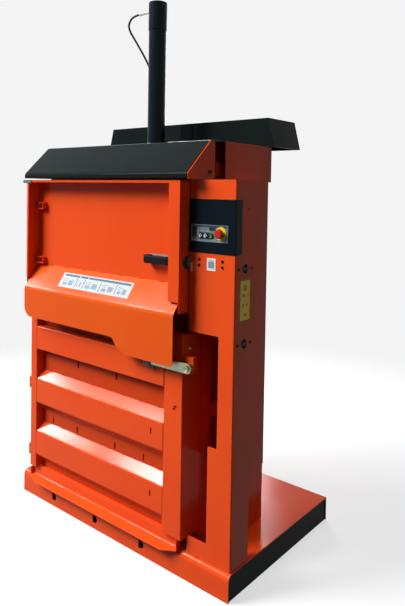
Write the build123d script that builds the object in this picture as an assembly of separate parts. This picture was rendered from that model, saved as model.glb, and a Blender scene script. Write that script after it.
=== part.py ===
from build123d import *
import math
import os

# Upright recycling baler: loading door above, bale door below, control
# column on the right, press cylinder standing on top. Millimetres.
# Places are measured from the base's front left corner on the floor:
# x to the right, y to the back, z up. save() moves each piece so that
# the origin is the bottom centre of the base.

# Widths, from left to right
LEFT_MARGIN = 66.0
DOOR_W = 1053.0
DOOR_GAP = 3.0
COLUMN_W = 233.0
RIGHT_MARGIN = 5.0
BODY_OVERHANG = 2.0

# Base
BASE_D = 800.0
BASE_H = 110.0
BASE_SHEET = 5.0
NOSE_R = 28.0
SKIRT_T = 6.0
SKIRT_INSET = 4.0
SKIRT_CORNER_GAP = 3.0
LIFT_W = 30.0
LIFT_H = 37.0
LIFT_Z = 46.0
LIFT_SHARES = (0.1912, 0.4206, 0.6471)

# Press body
POST_W = 60.0
POST_D = 63.0
POST_FRONT = 107.0
POST_T = 6.0
WALL_T = 6.0
CHAMBER_D = 411.0
BODY_GAP = 4.0
RIB_H = 60.0
RIB_T = 5.0
RIB_COUNT = 5
RIB_FIRST = 190.0
RIB_LAST = 110.0
BACK_RIB_D = 40.0
BACK_RIB_COUNT = 4
BACK_RIB_FIRST = 140.0
BACK_RIB_LAST = 180.0
JAMB_D = 70.0
JAMB_T = 6.0
JAMB_LIFT = 18.0
JAMB_DROP = 16.0
HEADER_LAP = 6.0
HEADER_H = 80.0
FLOOR_H = 40.0
FLOOR_T = 8.0
FLOOR_SIDE_GAP = 2.0
STRAP_W = 24.0
STRAP_SHARES = (0.1025, 0.3142, 0.6205, 0.8311)

# Lower door
LOWER_LIFT = 50.0
LOWER_H = 852.0
LOWER_D = 113.0
LOWER_SEAT = 4.0
LOWER_RECESS = 40.0
LOWER_SHEET = 4.0
STILE_LEFT_W = 52.0
STILE_RIGHT_W = 108.0
STILE_RETURN = 24.0
RAIL_DROP = 116.0
RAIL_H = 119.0
RIB_SHARES = (0.1151, 0.5559)
DOOR_RIB_H = 118.0
DOOR_RIB_RISE = 44.0
SKIN_DROP = 12.0
SLIT_W = 4.0
SLIT_H = 32.0
SLIT_ROW_SHARES = (0.36, 0.69)
SLIT_HIGH_SHIFT = 4.0
RIB_SLIT_INSET = 71.0
RIB_SLIT_H = 26.0
RIB_SLIT_RISE = 10.0
STILE_HOLE_INSET = 43.0
STILE_HOLE_DROP = 308.0
STILE_HOLE_TURN = 60.0
LIP_GAP = 3.0
LIP_REACH = 26.0
LIP_DEPTH = 48.0
LIP_FALL = 16.0
LIP_INSET_LEFT = 6.0
LIP_INSET_RIGHT = 23.0
LIP_CHAMFER_X = 71.0
LIP_RISE = 46.0
LIP_END_H = 38.0

# Hinges
HINGE_OUT = 12.0
HINGE_Y = 4.0
KNUCKLE_R = 11.0
KNUCKLE_H = 53.0
KNUCKLE_END = 16.0
KNUCKLE_GAP = 0.5
PIN_R = 5.0
PIN_FIT = 0.08
PIN_HEAD_R = 7.5
PIN_HEAD_H = 3.0
ARM_T = 8.0
LEAF_T = 8.0
LOWER_HINGE_RISE = 78.0
LOWER_HINGE_DROP = 422.0
UPPER_HINGE_RISE = 133.0
UPPER_HINGE_DROP = 129.0

# Upper door
UPPER_LIFT = 93.0
UPPER_H = 541.0
UPPER_D = 77.0
UPPER_SEAT = 3.0
UPPER_RECESS = 63.0
UPPER_INSET_RIGHT = 2.0
PAN_SHEET = 3.0
PAN_LEFT_W = 15.0
PAN_RIGHT_W = 61.0
PAN_TOP_LIP = 11.0
PAN_LEG_FOOT = 45.0
SLOPE_FALL = 115.0
SLOPE_REACH = 80.0
SLOPE_FOOT_DROP = 5.0
APRON_INSET_LEFT = 10.0
APRON_INSET_RIGHT = 14.0
APRON_H_LEFT = 148.0
APRON_H_RIGHT = 212.0
APRON_STEP_INSET = 361.0
APRON_STEP_W = 17.0
APRON_STEP_H = 29.0
APRON_SLANT_W = 55.0
APRON_R_LEFT = 55.0
APRON_R_STEP = 30.0
APRON_R_RIGHT = 20.0
LUG_LENGTH = 69.0
LUG_D = 25.0
LUG_H = 34.0
HANDLE_INSET = 22.0
HANDLE_W = 145.0
HANDLE_RISE = 186.0
HANDLE_H = 36.0
HANDLE_D = 42.0
HANDLE_GRIP_D = 16.0
HANDLE_FOOT_W = 18.0
HANDLE_CHAMFER = 5.0
LATCH_R = 27.5
LATCH_T = 2.5
LATCH_Y = 4.0
LATCH_RISE = 206.0
TOP_PLATE_W = 66.0
TOP_PLATE_OUT = 28.0
TOP_PLATE_H = 16.0
TOP_PLATE_T = 4.0

# Instruction plate on the slope
PLATE_INSET = 249.0
PLATE_W = 490.0
PLATE_START = 28.0
PLATE_H = 77.0
PLATE_T = 0.6

# Lock lever
LEVER_OUT = 41.0
LEVER_DROP = 122.0
LEVER_R = 21.5
LEVER_REACH = 215.0
LEVER_TIP_H = 32.0
LEVER_T = 8.0
LEVER_STAND = 18.0
LEVER_BOLT_R = 8.0
LEVER_BOLT_HEAD_R = 13.0
LEVER_BOLT_HEAD_H = 8.0
LEVER_SPACER_R = 14.0
LEVER_FIT = 0.1
LEVER_PLAY = 0.3
BLOCK_W = 55.0
BLOCK_D = 21.0
BLOCK_H = 60.0
BLOCK_CHAMFER = 4.0
KEEPER_LAP = 12.0
KEEPER_W = 37.0
KEEPER_T = 4.0
KEEPER_DROP = 24.0
KEEPER_GAP = 2.0
KEEPER_LIP = 14.0
SIDE_BOLT_Y = 24.0
SIDE_BOLT_DROP = 57.0
SIDE_BOLT_R = 9.0
SIDE_BOLT_H = 7.0

# Column
COLUMN_FRONT = 16.0
COLUMN_D = 220.0
COLUMN_RISE = 4.0
COLUMN_SHEET = 3.0
LEG_D = 119.0
LEG_FLANGE = 55.0
REAR_FOOT_SHARE = 0.4026
CUT_LIFT = 17.0
CUT_STEP_SHARE = 0.5114
CUT_RISE = 71.0
CUT_WIDE = 157.0
CUT_NARROW = 111.0
TONGUE_GAP = 8.0
CUT_R = 6.0
SIDE_HOLE_DROPS = (647.0, 350.0)
SIDE_HOLE_Y = 82.0
SIDE_HOLE_LOBE = 6.0
SIDE_HOLE_R = 4.5
SIDE_SCREW_SPREAD = 44.0
SIDE_SCREW_R = 7.0
SIDE_SCREW_H = 3.0
SCREW_EDGE = 1.0
SMALL_HOLE_Y = 103.0
SMALL_HOLE_DROP = 114.0
SMALL_HOLE_R = 4.0
SIDE_PLATE_Y = 46.0
SIDE_PLATE_W = 75.0
SIDE_PLATE_DROP = 391.0
SIDE_PLATE_H = 169.0
SIDE_PLATE_T = 0.6

# Cabinet behind the column
CABINET_W = 103.0
CABINET_D = 196.0
CABINET_GAP = 4.0
CABINET_T = 3.0
CABINET_DROP = 10.0

# Control gear in the column
GEAR_W = 180.0
GEAR_H = 240.0
GEAR_RISE = 56.0
GEAR_T = 3.0
RELAY_W = 45.0
RELAY_D = 60.0
RELAY_H = 75.0

# Control panel
PANEL_DROP = 78.0
PANEL_H = 216.0
PANEL_T = 2.0
PANEL_WRAP = 41.0
PANEL_SIDE_GAP = 2.0
WINDOW_EDGE = 16.0
KEYPAD_X = 8.0
KEYPAD_W = 189.0
KEYPAD_RISE = 45.0
KEYPAD_H = 69.0
KEYPAD_T = 0.8
RING_X = 163.0
RING_RISE = 36.0
RING_R = 27.0
RING_T = 3.0
STOP_STEM_R = 9.0
STOP_FIT = 0.1
STOP_STEM_L = 46.0
STOP_HEAD_R = 19.0
STOP_HEAD_H = 15.0
STOP_TRAVEL = 4.0
STOP_PLAY = 2.0
BUTTON_PLACES = ((60.0, 25.0), (86.0, 25.0), (115.0, 24.0))
BUTTON_R = 8.0
BUTTON_OUT = 3.0
BUTTON_L = 26.0
BUTTON_FLANGE_R = 9.5
BUTTON_FLANGE_T = 2.0
BEZEL_R = 11.5
BEZEL_T = 3.0
BUTTON_FIT = 0.1
BUTTON_EDGE = 1.0
DISPLAY_X = 15.0
DISPLAY_W = 25.0
DISPLAY_RISE = 18.0
DISPLAY_H = 42.0
COUNTER_X = 104.0
COUNTER_W = 31.0
COUNTER_RISE = 46.0
COUNTER_H = 14.0
PANE_T = 0.6
SCREW_R = 6.0
SCREW_H = 3.0
SCREW_PLACES = ((52.0, 51.0), (52.0, 28.0), (170.0, 51.0), (170.0, 28.0))
INFO_X = 92.0
INFO_W = 44.0
INFO_DROP = 69.0
INFO_H = 50.0
INFO_T = 0.6
KEY_X = 17.0
KEY_W = 7.0
KEY_DROP = 35.0
KEY_H = 38.0
KEY_OUT = 12.0
KEY_R = 3.0

# Hood
HOOD_OVERHANG = 4.0
HOOD_LAP = 33.0
HOOD_FRONT = -51.0
HOOD_GAP = 8.0
HOOD_LIP = 22.0
HOOD_RUN = 145.0
HOOD_RISE = 141.0
HOOD_SHEET = 3.0
HOOD_RETURN = 36.0
HOOD_BACK = 560.0
GUSSET_T = 6.0
GUSSET_INSET = 4.0
GUSSET_BACK = 124.0
SIDE_START = 200.0
GUSSET_BOLT_Y = 89.0
GUSSET_BOLT_RISE = 33.0
GUSSET_BOLT_R = 8.0
GUSSET_BOLT_H = 5.0

# Rear cover and power unit
COVER_FRONT = 541.0
COVER_BACK = 780.0
COVER_H = 139.0
COVER_INSET_LEFT = 6.0
COVER_INSET_RIGHT = 7.0
COVER_FLARE = 35.0
COVER_SHEET = 3.0
BAND_SHIFT = 5.5
BAND_W = 85.0
BAND_T = 2.0
HOUSING_INSET = 54.0
HOUSING_W = 865.0
HOUSING_D = 150.0
HOUSING_H = 487.0
HOUSING_SHEET = 3.0
TANK_INSET = 180.0
TANK_W = 460.0
TANK_D = 120.0
TANK_H = 270.0
TANK_T = 3.0
MOTOR_SHIFT = 130.0
MOTOR_R = 55.0
MOTOR_H = 190.0
VALVE_SHIFT = 260.0
VALVE_W = 130.0
VALVE_D = 90.0
VALVE_H = 95.0

# Press cylinder and ram
CYL_INSET = 252.0
CYL_R = 44.0
CYL_BORE = 37.0
CYL_L = 661.0
CAP_R = 46.5
CAP_H = 140.0
CAP_EDGE = 5.0
FLANGE_W = 150.0
FLANGE_T = 25.0
PLATE_SEAT_W = 300.0
BEAM_T = 20.0
BEAM_H = 85.0
BEAM_SPREAD = 168.0
SEAT_T = 25.0
ROD_R = 25.0
ROD_FIT = 0.1
ROD_SEAT_GAP = 2.0
PISTON_H = 40.0
PISTON_FIT = 0.1
PISTON_TOP_GAP = 1.0
BARREL_HOLE_GAP = 3.0
RAM_GAP = 10.0
RAM_CLEAR = 80.0
RAM_H = 60.0
RAM_SKIN = 12.0
RAM_BOSS_R = 55.0
RAM_RIB_T = 10.0

# Hose
HOSE_R = 5.5
PORT_DROP = 37.0
FITTING_R = 8.5
FITTING_L = 88.0
FITTING_SINK = 6.0
FITTING_NUT_R = 11.0
FITTING_NUT_L = 20.0
FITTING_FIT = 0.3
HOSE_REACH = 108.0
HOSE_END_INSET = 79.0
HOSE_TAIL = 14.0
HOSE_ARC_SHARE = 0.45
HOSE_BENDS = (
    (0.37, 0.0, 0.0),
    (0.73, 0.0115, 0.0323),
    (1.0, 0.0766, 0.0932),
    (1.0, 0.3142, 0.2007),
    (1.0, 0.7088, 0.3978),
    (1.0, 0.977, 0.6452),
    (1.0, 1.0, 0.8423),
)
GROMMET_R = 13.0
GROMMET_H = 8.0
GROMMET_FIT = 1.0

# Places worked out from the sizes above
DOOR_LEFT = LEFT_MARGIN
DOOR_RIGHT = DOOR_LEFT + DOOR_W
COLUMN_LEFT = DOOR_RIGHT + DOOR_GAP
COLUMN_RIGHT = COLUMN_LEFT + COLUMN_W
COLUMN_BACK = COLUMN_FRONT + COLUMN_D
LEG_BACK = COLUMN_FRONT + LEG_D
BASE_W = COLUMN_RIGHT + RIGHT_MARGIN
BODY_LEFT = DOOR_LEFT - BODY_OVERHANG
BODY_RIGHT = DOOR_RIGHT - BODY_OVERHANG
POST_BACK = POST_FRONT + POST_D
INNER_LEFT = BODY_LEFT + POST_W
INNER_RIGHT = BODY_RIGHT - POST_W
CHAMBER_BACK = POST_BACK + CHAMBER_D
BODY_BACK = CHAMBER_BACK + WALL_T
JAMB_FRONT = POST_FRONT - JAMB_D
LOWER_FRONT = POST_FRONT - LOWER_SEAT - LOWER_D
LOWER_BACK = LOWER_FRONT + LOWER_D
LOWER_SKIN = LOWER_FRONT + LOWER_RECESS
LOWER_FOOT = BASE_H + LOWER_LIFT
LOWER_TOP = LOWER_FOOT + LOWER_H
RAIL_TOP = LOWER_TOP - RAIL_DROP
RAIL_FOOT = RAIL_TOP - RAIL_H
PANE_LEFT = DOOR_LEFT + STILE_LEFT_W
PANE_RIGHT = DOOR_RIGHT - STILE_RIGHT_W
STRAP_PLACES = [PANE_LEFT + share * (PANE_RIGHT - PANE_LEFT) for share in STRAP_SHARES]
RIB_FEET = [LOWER_FOOT + share * (RAIL_FOOT - LOWER_FOOT) for share in RIB_SHARES]
LIP_Z = BASE_H + LIP_GAP
LIP_FRONT = LOWER_FRONT - LIP_REACH
LIP_LEFT = DOOR_LEFT + LIP_INSET_LEFT
LIP_RIGHT = DOOR_RIGHT - LIP_INSET_RIGHT
UPPER_FOOT = LOWER_TOP + UPPER_LIFT
UPPER_TOP = UPPER_FOOT + UPPER_H
UPPER_FRONT = JAMB_FRONT - UPPER_SEAT - UPPER_D
UPPER_BACK = UPPER_FRONT + UPPER_D
UPPER_PANEL = UPPER_FRONT + UPPER_RECESS
UPPER_RIGHT = DOOR_RIGHT - UPPER_INSET_RIGHT
UPPER_WIDE = UPPER_RIGHT - PAN_RIGHT_W
APRON_FOLD = UPPER_FOOT - SLOPE_FOOT_DROP
SLOPE_TOP = APRON_FOLD + SLOPE_FALL
APRON_FRONT = UPPER_PANEL - SLOPE_REACH
APRON_LEFT = DOOR_LEFT + APRON_INSET_LEFT
APRON_RIGHT = UPPER_RIGHT - APRON_INSET_RIGHT
APRON_STEP_X = APRON_RIGHT - APRON_STEP_INSET
PLATE_X = APRON_LEFT + PLATE_INSET
HANDLE_X = UPPER_WIDE - HANDLE_INSET - HANDLE_W
HANDLE_Z = UPPER_FOOT + HANDLE_RISE
LATCH_Z = UPPER_FOOT + LATCH_RISE
HINGE_X = DOOR_LEFT - HINGE_OUT
LOWER_HINGES = (LOWER_FOOT + LOWER_HINGE_RISE, LOWER_TOP - LOWER_HINGE_DROP)
UPPER_HINGES = (UPPER_FOOT + UPPER_HINGE_RISE, UPPER_TOP - UPPER_HINGE_DROP)
LEVER_X = DOOR_RIGHT + LEVER_OUT
LEVER_Z = LOWER_TOP - LEVER_DROP
KEEPER_RIGHT = LEVER_X - LEVER_REACH + KEEPER_LAP
SIDE_BOLT_Z = LOWER_TOP - SIDE_BOLT_DROP
COLUMN_TOP = UPPER_TOP + COLUMN_RISE
CUT_TOP = LOWER_TOP + CUT_LIFT
CUT_FOOT = BASE_H + CUT_RISE
CUT_STEP = BASE_H + CUT_STEP_SHARE * (CUT_TOP - BASE_H)
COLUMN_REAR_FOOT = BASE_H + REAR_FOOT_SHARE * (LOWER_TOP - BASE_H)
PANEL_Z = COLUMN_TOP - PANEL_DROP - PANEL_H
PANEL_FRONT = COLUMN_FRONT - PANEL_T
KEYPAD_Z = PANEL_Z + KEYPAD_RISE
KEYPAD_FRONT = PANEL_FRONT - KEYPAD_T
RING_Z = KEYPAD_Z + RING_RISE
HOOD_LEFT = BODY_LEFT - HOOD_OVERHANG
HOOD_RIGHT = COLUMN_LEFT + HOOD_LAP
HOOD_Z = UPPER_TOP + HOOD_GAP
HOOD_TOP = HOOD_Z + HOOD_LIP + HOOD_RISE
HOOD_FOLD = HOOD_FRONT + HOOD_RUN
BODY_TOP = HOOD_TOP - HOOD_SHEET - BODY_GAP
COVER_TOP = HOOD_TOP + COVER_H
COVER_LEFT = HOOD_LEFT + COVER_INSET_LEFT
COVER_RIGHT = HOOD_RIGHT - COVER_INSET_RIGHT
HOUSING_X = COVER_LEFT + HOUSING_INSET
HOUSING_Z = HOOD_TOP - HOUSING_H
TANK_X = HOUSING_X + TANK_INSET
MOTOR_X = TANK_X + MOTOR_SHIFT
VALVE_X = TANK_X + VALVE_SHIFT
CYL_X = (INNER_LEFT + INNER_RIGHT) / 2
CYL_Y = POST_FRONT + CYL_INSET
SEAT_TOP = BODY_TOP - BEAM_H
SEAT_Z = SEAT_TOP - SEAT_T
FLANGE_TOP = SEAT_TOP + FLANGE_T
BARREL_TOP = FLANGE_TOP + CYL_L
CYL_TOP = BARREL_TOP + CAP_H
RAM_TOP = SEAT_Z - RAM_CLEAR
RAM_Z = RAM_TOP - RAM_H
PISTON_TOP = BARREL_TOP - PISTON_TOP_GAP
PORT_Z = CYL_TOP - PORT_DROP
FITTING_INNER = CYL_X - CAP_R + FITTING_SINK
FITTING_OUTER = FITTING_INNER - FITTING_L
HOSE_X = FITTING_OUTER - HOSE_REACH
HOSE_END_Y = COVER_FRONT + HOSE_END_INSET

os.makedirs("parts", exist_ok=True)


def block(x0, x1, y0, y1, z0, z1):
    """Box between two limits on each axis."""
    size = Box(x1 - x0, y1 - y0, z1 - z0)
    return Pos((x0 + x1) / 2, (y0 + y1) / 2, (z0 + z1) / 2) * size


def disc_x(x0, x1, y, z, r):
    """Round bar along x."""
    return Pos((x0 + x1) / 2, y, z) * Rot(0, 90, 0) * Cylinder(r, x1 - x0)


def disc_y(y0, y1, x, z, r):
    """Round bar along y."""
    return Pos(x, (y0 + y1) / 2, z) * Rot(90, 0, 0) * Cylinder(r, y1 - y0)


def disc_z(z0, z1, x, y, r):
    """Round bar along z."""
    return Pos(x, y, (z0 + z1) / 2) * Cylinder(r, z1 - z0)


def prism_x(points, x0, x1):
    """Solid with a side outline of (y, z) points."""
    outline = Plane.YZ.offset(x0) * make_face(Polyline(*points, close=True))
    return extrude(outline, amount=x1 - x0)


def prism_y(points, y0, y1):
    """Solid with a front outline of (x, z) points."""
    outline = Plane.XZ.offset(-y1) * make_face(Polyline(*points, close=True))
    return extrude(outline, amount=y1 - y0)


def prism_z(points, z0, z1):
    """Solid with a plan outline of (x, y) points."""
    outline = Plane.XY.offset(z0) * make_face(Polyline(*points, close=True))
    return extrude(outline, amount=z1 - z0)


def box_tube(x0, x1, y0, y1, z0, z1, t):
    """Square tube along z."""
    return block(x0, x1, y0, y1, z0, z1) - block(x0 + t, x1 - t, y0 + t, y1 - t, z0, z1)


def separate(pieces):
    """Several solids in one node."""
    solids = []
    for piece in pieces:
        solids.extend(piece.solids())
    return Compound(children=solids)


def save(node, shape):
    """Moves a piece to the base's bottom centre and writes it."""
    placed = Pos(-BASE_W / 2, -BASE_D / 2, 0) * shape
    export_step(placed, "parts/" + node + ".step")


# Base: folded deck, bottom plate and end skirts
deck = block(0, BASE_W, 0, BASE_D, 0, BASE_H)
nose = deck.edges().filter_by(Axis.X).sort_by(lambda e: e.center().Y - e.center().Z)[0]
deck = fillet(nose, NOSE_R)
hollow = block(-1, BASE_W + 1, BASE_SHEET, BASE_D - BASE_SHEET, -1, BASE_H - BASE_SHEET)
bend = hollow.edges().filter_by(Axis.X).sort_by(lambda e: e.center().Y - e.center().Z)[0]
hollow = fillet(bend, NOSE_R - BASE_SHEET)
deck = deck - hollow
for share in LIFT_SHARES:
    place = share * BASE_W
    flat_left = place - LIFT_W / 2
    round_x = place + LIFT_W / 2 - LIFT_H / 2
    low = LIFT_Z - LIFT_H / 2
    high = LIFT_Z + LIFT_H / 2
    hole = block(flat_left, round_x, -1, BASE_SHEET + 1, low, high)
    hole = hole + disc_y(-1, BASE_SHEET + 1, round_x, LIFT_Z, LIFT_H / 2)
    hole = hole & block(flat_left, place + LIFT_W, -1, BASE_SHEET + 1, low, high)
    deck = deck - hole
save("base_deck", deck)

skirts = []
for skirt_x in (SKIRT_INSET, BASE_W - SKIRT_INSET - SKIRT_T):
    skirt = block(skirt_x, skirt_x + SKIRT_T, BASE_SHEET, BASE_D - BASE_SHEET, 0, BASE_H - BASE_SHEET)
    corner = skirt.edges().filter_by(Axis.X).sort_by(lambda e: e.center().Y - e.center().Z)[0]
    skirts.append(fillet(corner, NOSE_R - BASE_SHEET + SKIRT_CORNER_GAP))
skirt_face = SKIRT_INSET + SKIRT_T
base_plate = block(skirt_face, BASE_W - skirt_face, BASE_SHEET, BASE_D - BASE_SHEET, 0, BASE_SHEET)
save("base_underside", separate(skirts + [base_plate]))

# Press body: posts, side walls with ribs, rear wall with ribs
posts = [
    box_tube(BODY_LEFT, INNER_LEFT, POST_FRONT, POST_BACK, BASE_H, BODY_TOP, POST_T),
    box_tube(INNER_RIGHT, BODY_RIGHT, POST_FRONT, POST_BACK, BASE_H, BODY_TOP, POST_T),
]
save("frame_posts", separate(posts))

walls = [
    block(INNER_LEFT - WALL_T, INNER_LEFT, POST_BACK, CHAMBER_BACK, BASE_H, BODY_TOP),
    block(INNER_RIGHT, INNER_RIGHT + WALL_T, POST_BACK, CHAMBER_BACK, BASE_H, BODY_TOP),
]

wall_ribs = []
rib_start = BASE_H + RIB_FIRST
rib_pitch = (BODY_TOP - RIB_LAST - rib_start) / (RIB_COUNT - 1)
for number in range(RIB_COUNT):
    rib_z = rib_start + number * rib_pitch
    low = rib_z - RIB_H / 2
    high = rib_z + RIB_H / 2
    outer_left = block(BODY_LEFT, INNER_LEFT - WALL_T, POST_BACK, BODY_BACK, low, high)
    inner_left = block(
        BODY_LEFT + RIB_T, INNER_LEFT, POST_BACK - 1, BODY_BACK + 1, low + RIB_T, high - RIB_T
    )
    wall_ribs.append(outer_left - inner_left)
    outer_right = block(INNER_RIGHT + WALL_T, BODY_RIGHT, POST_BACK, BODY_BACK, low, high)
    inner_right = block(
        INNER_RIGHT, BODY_RIGHT - RIB_T, POST_BACK - 1, BODY_BACK + 1, low + RIB_T, high - RIB_T
    )
    wall_ribs.append(outer_right - inner_right)

wall_left = INNER_LEFT - WALL_T
wall_right = INNER_RIGHT + WALL_T
walls.append(block(wall_left, wall_right, CHAMBER_BACK, BODY_BACK, BASE_H, BODY_TOP))
save("chamber_walls", separate(walls))

rib_start = BASE_H + BACK_RIB_FIRST
rib_pitch = (HOUSING_Z - BACK_RIB_LAST - rib_start) / (BACK_RIB_COUNT - 1)
for number in range(BACK_RIB_COUNT):
    rib_z = rib_start + number * rib_pitch
    low = rib_z - RIB_H / 2
    high = rib_z + RIB_H / 2
    outer = block(wall_left, wall_right, BODY_BACK, BODY_BACK + BACK_RIB_D, low, high)
    inner = block(
        wall_left - 1, wall_right + 1, BODY_BACK - 1, BODY_BACK + BACK_RIB_D - RIB_T,
        low + RIB_T, high - RIB_T,
    )
    wall_ribs.append(outer - inner)
save("wall_ribs", separate(wall_ribs))

jamb_foot = LOWER_TOP + JAMB_LIFT
jamb_top = UPPER_TOP - JAMB_DROP
jambs = [
    block(BODY_LEFT, BODY_LEFT + JAMB_T, JAMB_FRONT, POST_FRONT, jamb_foot, jamb_top),
    block(BODY_RIGHT - JAMB_T, BODY_RIGHT, JAMB_FRONT, POST_FRONT, jamb_foot, jamb_top),
]
header_z = UPPER_TOP - HEADER_LAP
header = block(INNER_LEFT, INNER_RIGHT, POST_FRONT, POST_BACK, header_z, header_z + HEADER_H)
header = header - block(
    INNER_LEFT - 1, INNER_RIGHT + 1, POST_FRONT + POST_T, POST_BACK - POST_T,
    header_z + POST_T, header_z + HEADER_H - POST_T,
)
save("door_frame", separate(jambs + [header]))

# Chamber floor: channels with grooves for the straps between them
floor_top = BASE_H + FLOOR_H
floor_edges = [INNER_LEFT + FLOOR_SIDE_GAP]
for place in STRAP_PLACES:
    floor_edges.append(place - STRAP_W / 2)
    floor_edges.append(place + STRAP_W / 2)
floor_edges.append(INNER_RIGHT - FLOOR_SIDE_GAP)
floor_channels = []
for number in range(0, len(floor_edges), 2):
    x0 = floor_edges[number]
    x1 = floor_edges[number + 1]
    channel = block(x0, x1, POST_FRONT, CHAMBER_BACK, BASE_H, floor_top)
    tunnel = block(
        x0 + FLOOR_T, x1 - FLOOR_T, POST_FRONT + FLOOR_T, CHAMBER_BACK - FLOOR_T,
        BASE_H - 1, floor_top - FLOOR_T,
    )
    floor_channels.append(channel - tunnel)
save("chamber_floor", separate(floor_channels))


def two_lobes(x, z, y0, y1, turn):
    """Slanting two-lobed hole along y."""
    dx = SIDE_HOLE_LOBE * math.cos(math.radians(turn))
    dz = SIDE_HOLE_LOBE * math.sin(math.radians(turn))
    first = disc_y(y0, y1, x - dx, z - dz, SIDE_HOLE_R)
    return first + disc_y(y0, y1, x + dx, z + dz, SIDE_HOLE_R)


# Lower door: two hollow stiles, top rail, two ribs, skin and lip
s = LOWER_SHEET
stile_left = block(DOOR_LEFT, PANE_LEFT, LOWER_FRONT, LOWER_BACK, LOWER_FOOT, LOWER_TOP)
stile_left = stile_left - block(
    DOOR_LEFT + s, PANE_LEFT - s, LOWER_FRONT + s, LOWER_BACK - s, LOWER_FOOT - 1, LOWER_TOP - s
)
stile_left = stile_left - block(
    DOOR_LEFT + STILE_RETURN, PANE_LEFT + 1, LOWER_SKIN + s, LOWER_BACK + 1, LOWER_FOOT - 1, LOWER_TOP + 1
)

stile_right = block(PANE_RIGHT, DOOR_RIGHT, LOWER_FRONT, LOWER_BACK, LOWER_FOOT, LOWER_TOP)
stile_right = stile_right - block(
    PANE_RIGHT + s, DOOR_RIGHT - s, LOWER_FRONT + s, LOWER_BACK - s, LOWER_FOOT - 1, LOWER_TOP - s
)
stile_right = stile_right - block(
    PANE_RIGHT - 1, DOOR_RIGHT - STILE_RETURN, LOWER_SKIN + s, LOWER_BACK + 1,
    LOWER_FOOT - 1, LOWER_TOP + 1,
)
stile_right = stile_right - two_lobes(
    DOOR_RIGHT - STILE_HOLE_INSET, LOWER_TOP - STILE_HOLE_DROP, LOWER_FRONT - 1, LOWER_FRONT + s + 1,
    STILE_HOLE_TURN,
)
save("lower_door_stiles", separate([stile_left, stile_right]))

rail = block(PANE_LEFT, PANE_RIGHT, LOWER_FRONT, LOWER_SKIN, RAIL_FOOT, RAIL_TOP)
rail = rail - block(
    PANE_LEFT - 1, PANE_RIGHT + 1, LOWER_FRONT + s, LOWER_SKIN + 1, RAIL_FOOT + s, RAIL_TOP - s
)
save("lower_door_rail", rail)

door_ribs = []
rib_slit_x = PANE_RIGHT - RIB_SLIT_INSET
for rib_foot in RIB_FEET:
    rib_top = rib_foot + DOOR_RIB_H
    lean = s * math.hypot(LOWER_RECESS, DOOR_RIB_RISE) / LOWER_RECESS
    turn_in = s * DOOR_RIB_RISE / LOWER_RECESS
    outside = [
        (LOWER_FRONT, rib_foot),
        (LOWER_FRONT, rib_top),
        (LOWER_SKIN, rib_top + DOOR_RIB_RISE),
        (LOWER_SKIN, rib_top + DOOR_RIB_RISE - lean),
        (LOWER_FRONT + s, rib_top + turn_in - lean),
        (LOWER_FRONT + s, rib_foot - turn_in + lean),
        (LOWER_SKIN, rib_foot - DOOR_RIB_RISE + lean),
        (LOWER_SKIN, rib_foot - DOOR_RIB_RISE),
    ]
    rib = prism_x(outside, PANE_LEFT, PANE_RIGHT)
    slit_z = rib_foot + DOOR_RIB_H / 2 + RIB_SLIT_RISE
    rib = rib - block(
        rib_slit_x - SLIT_W / 2, rib_slit_x + SLIT_W / 2, LOWER_FRONT - 1, LOWER_FRONT + s + 1,
        slit_z - RIB_SLIT_H / 2, slit_z + RIB_SLIT_H / 2,
    )
    door_ribs.append(rib)
save("lower_door_ribs", separate(door_ribs))

skin = block(PANE_LEFT - s, PANE_RIGHT + s, LOWER_SKIN, LOWER_SKIN + s, LIP_Z + LIP_RISE, LOWER_TOP - SKIN_DROP)
skin = skin - block(PANE_LEFT - s - 1, PANE_LEFT, LOWER_SKIN - 1, LOWER_SKIN + s + 1, 0, LOWER_TOP)
skin = skin - block(PANE_RIGHT, PANE_RIGHT + s + 1, LOWER_SKIN - 1, LOWER_SKIN + s + 1, 0, LOWER_TOP)
rib_spaces = [
    (RIB_FEET[0] + DOOR_RIB_H + DOOR_RIB_RISE, RIB_FEET[1] - DOOR_RIB_RISE),
    (RIB_FEET[1] + DOOR_RIB_H + DOOR_RIB_RISE, RAIL_FOOT),
]
slit_rows = []
for share, (low, high) in zip(SLIT_ROW_SHARES, rib_spaces):
    slit_rows.append(low + share * (high - low))
slits = [(x, slit_rows[0]) for x in STRAP_PLACES]
slits.extend((x + SLIT_HIGH_SHIFT, slit_rows[1]) for x in STRAP_PLACES[1:3])
for slit_x, slit_z in slits:
    skin = skin - block(
        slit_x - SLIT_W / 2, slit_x + SLIT_W / 2, LOWER_SKIN - 1, LOWER_SKIN + s + 1,
        slit_z - SLIT_H / 2, slit_z + SLIT_H / 2,
    )
save("lower_door_skin", skin)

lip_back = LIP_FRONT + LIP_DEPTH
lip_outline = prism_z(
    [
        (LIP_LEFT, lip_back),
        (LIP_LEFT, LOWER_FRONT),
        (LIP_LEFT + LIP_CHAMFER_X, LIP_FRONT),
        (LIP_RIGHT - LIP_CHAMFER_X, LIP_FRONT),
        (LIP_RIGHT, LOWER_FRONT),
        (LIP_RIGHT, lip_back),
    ],
    0, LOWER_FOOT,
)
lip = prism_x(
    [
        (LIP_FRONT, LIP_Z - LIP_FALL),
        (LIP_FRONT, LIP_Z + s - LIP_FALL),
        (lip_back - s, LIP_Z + s),
        (lip_back - s, LIP_Z + LIP_RISE),
        (lip_back, LIP_Z + LIP_RISE),
        (lip_back, LIP_Z),
    ],
    LIP_LEFT, LIP_RIGHT,
)
lip = lip & lip_outline
lip = lip + block(
    PANE_LEFT, PANE_RIGHT, lip_back - s, LOWER_SKIN + s, LIP_Z + LIP_RISE - s, LIP_Z + LIP_RISE
)
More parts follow.
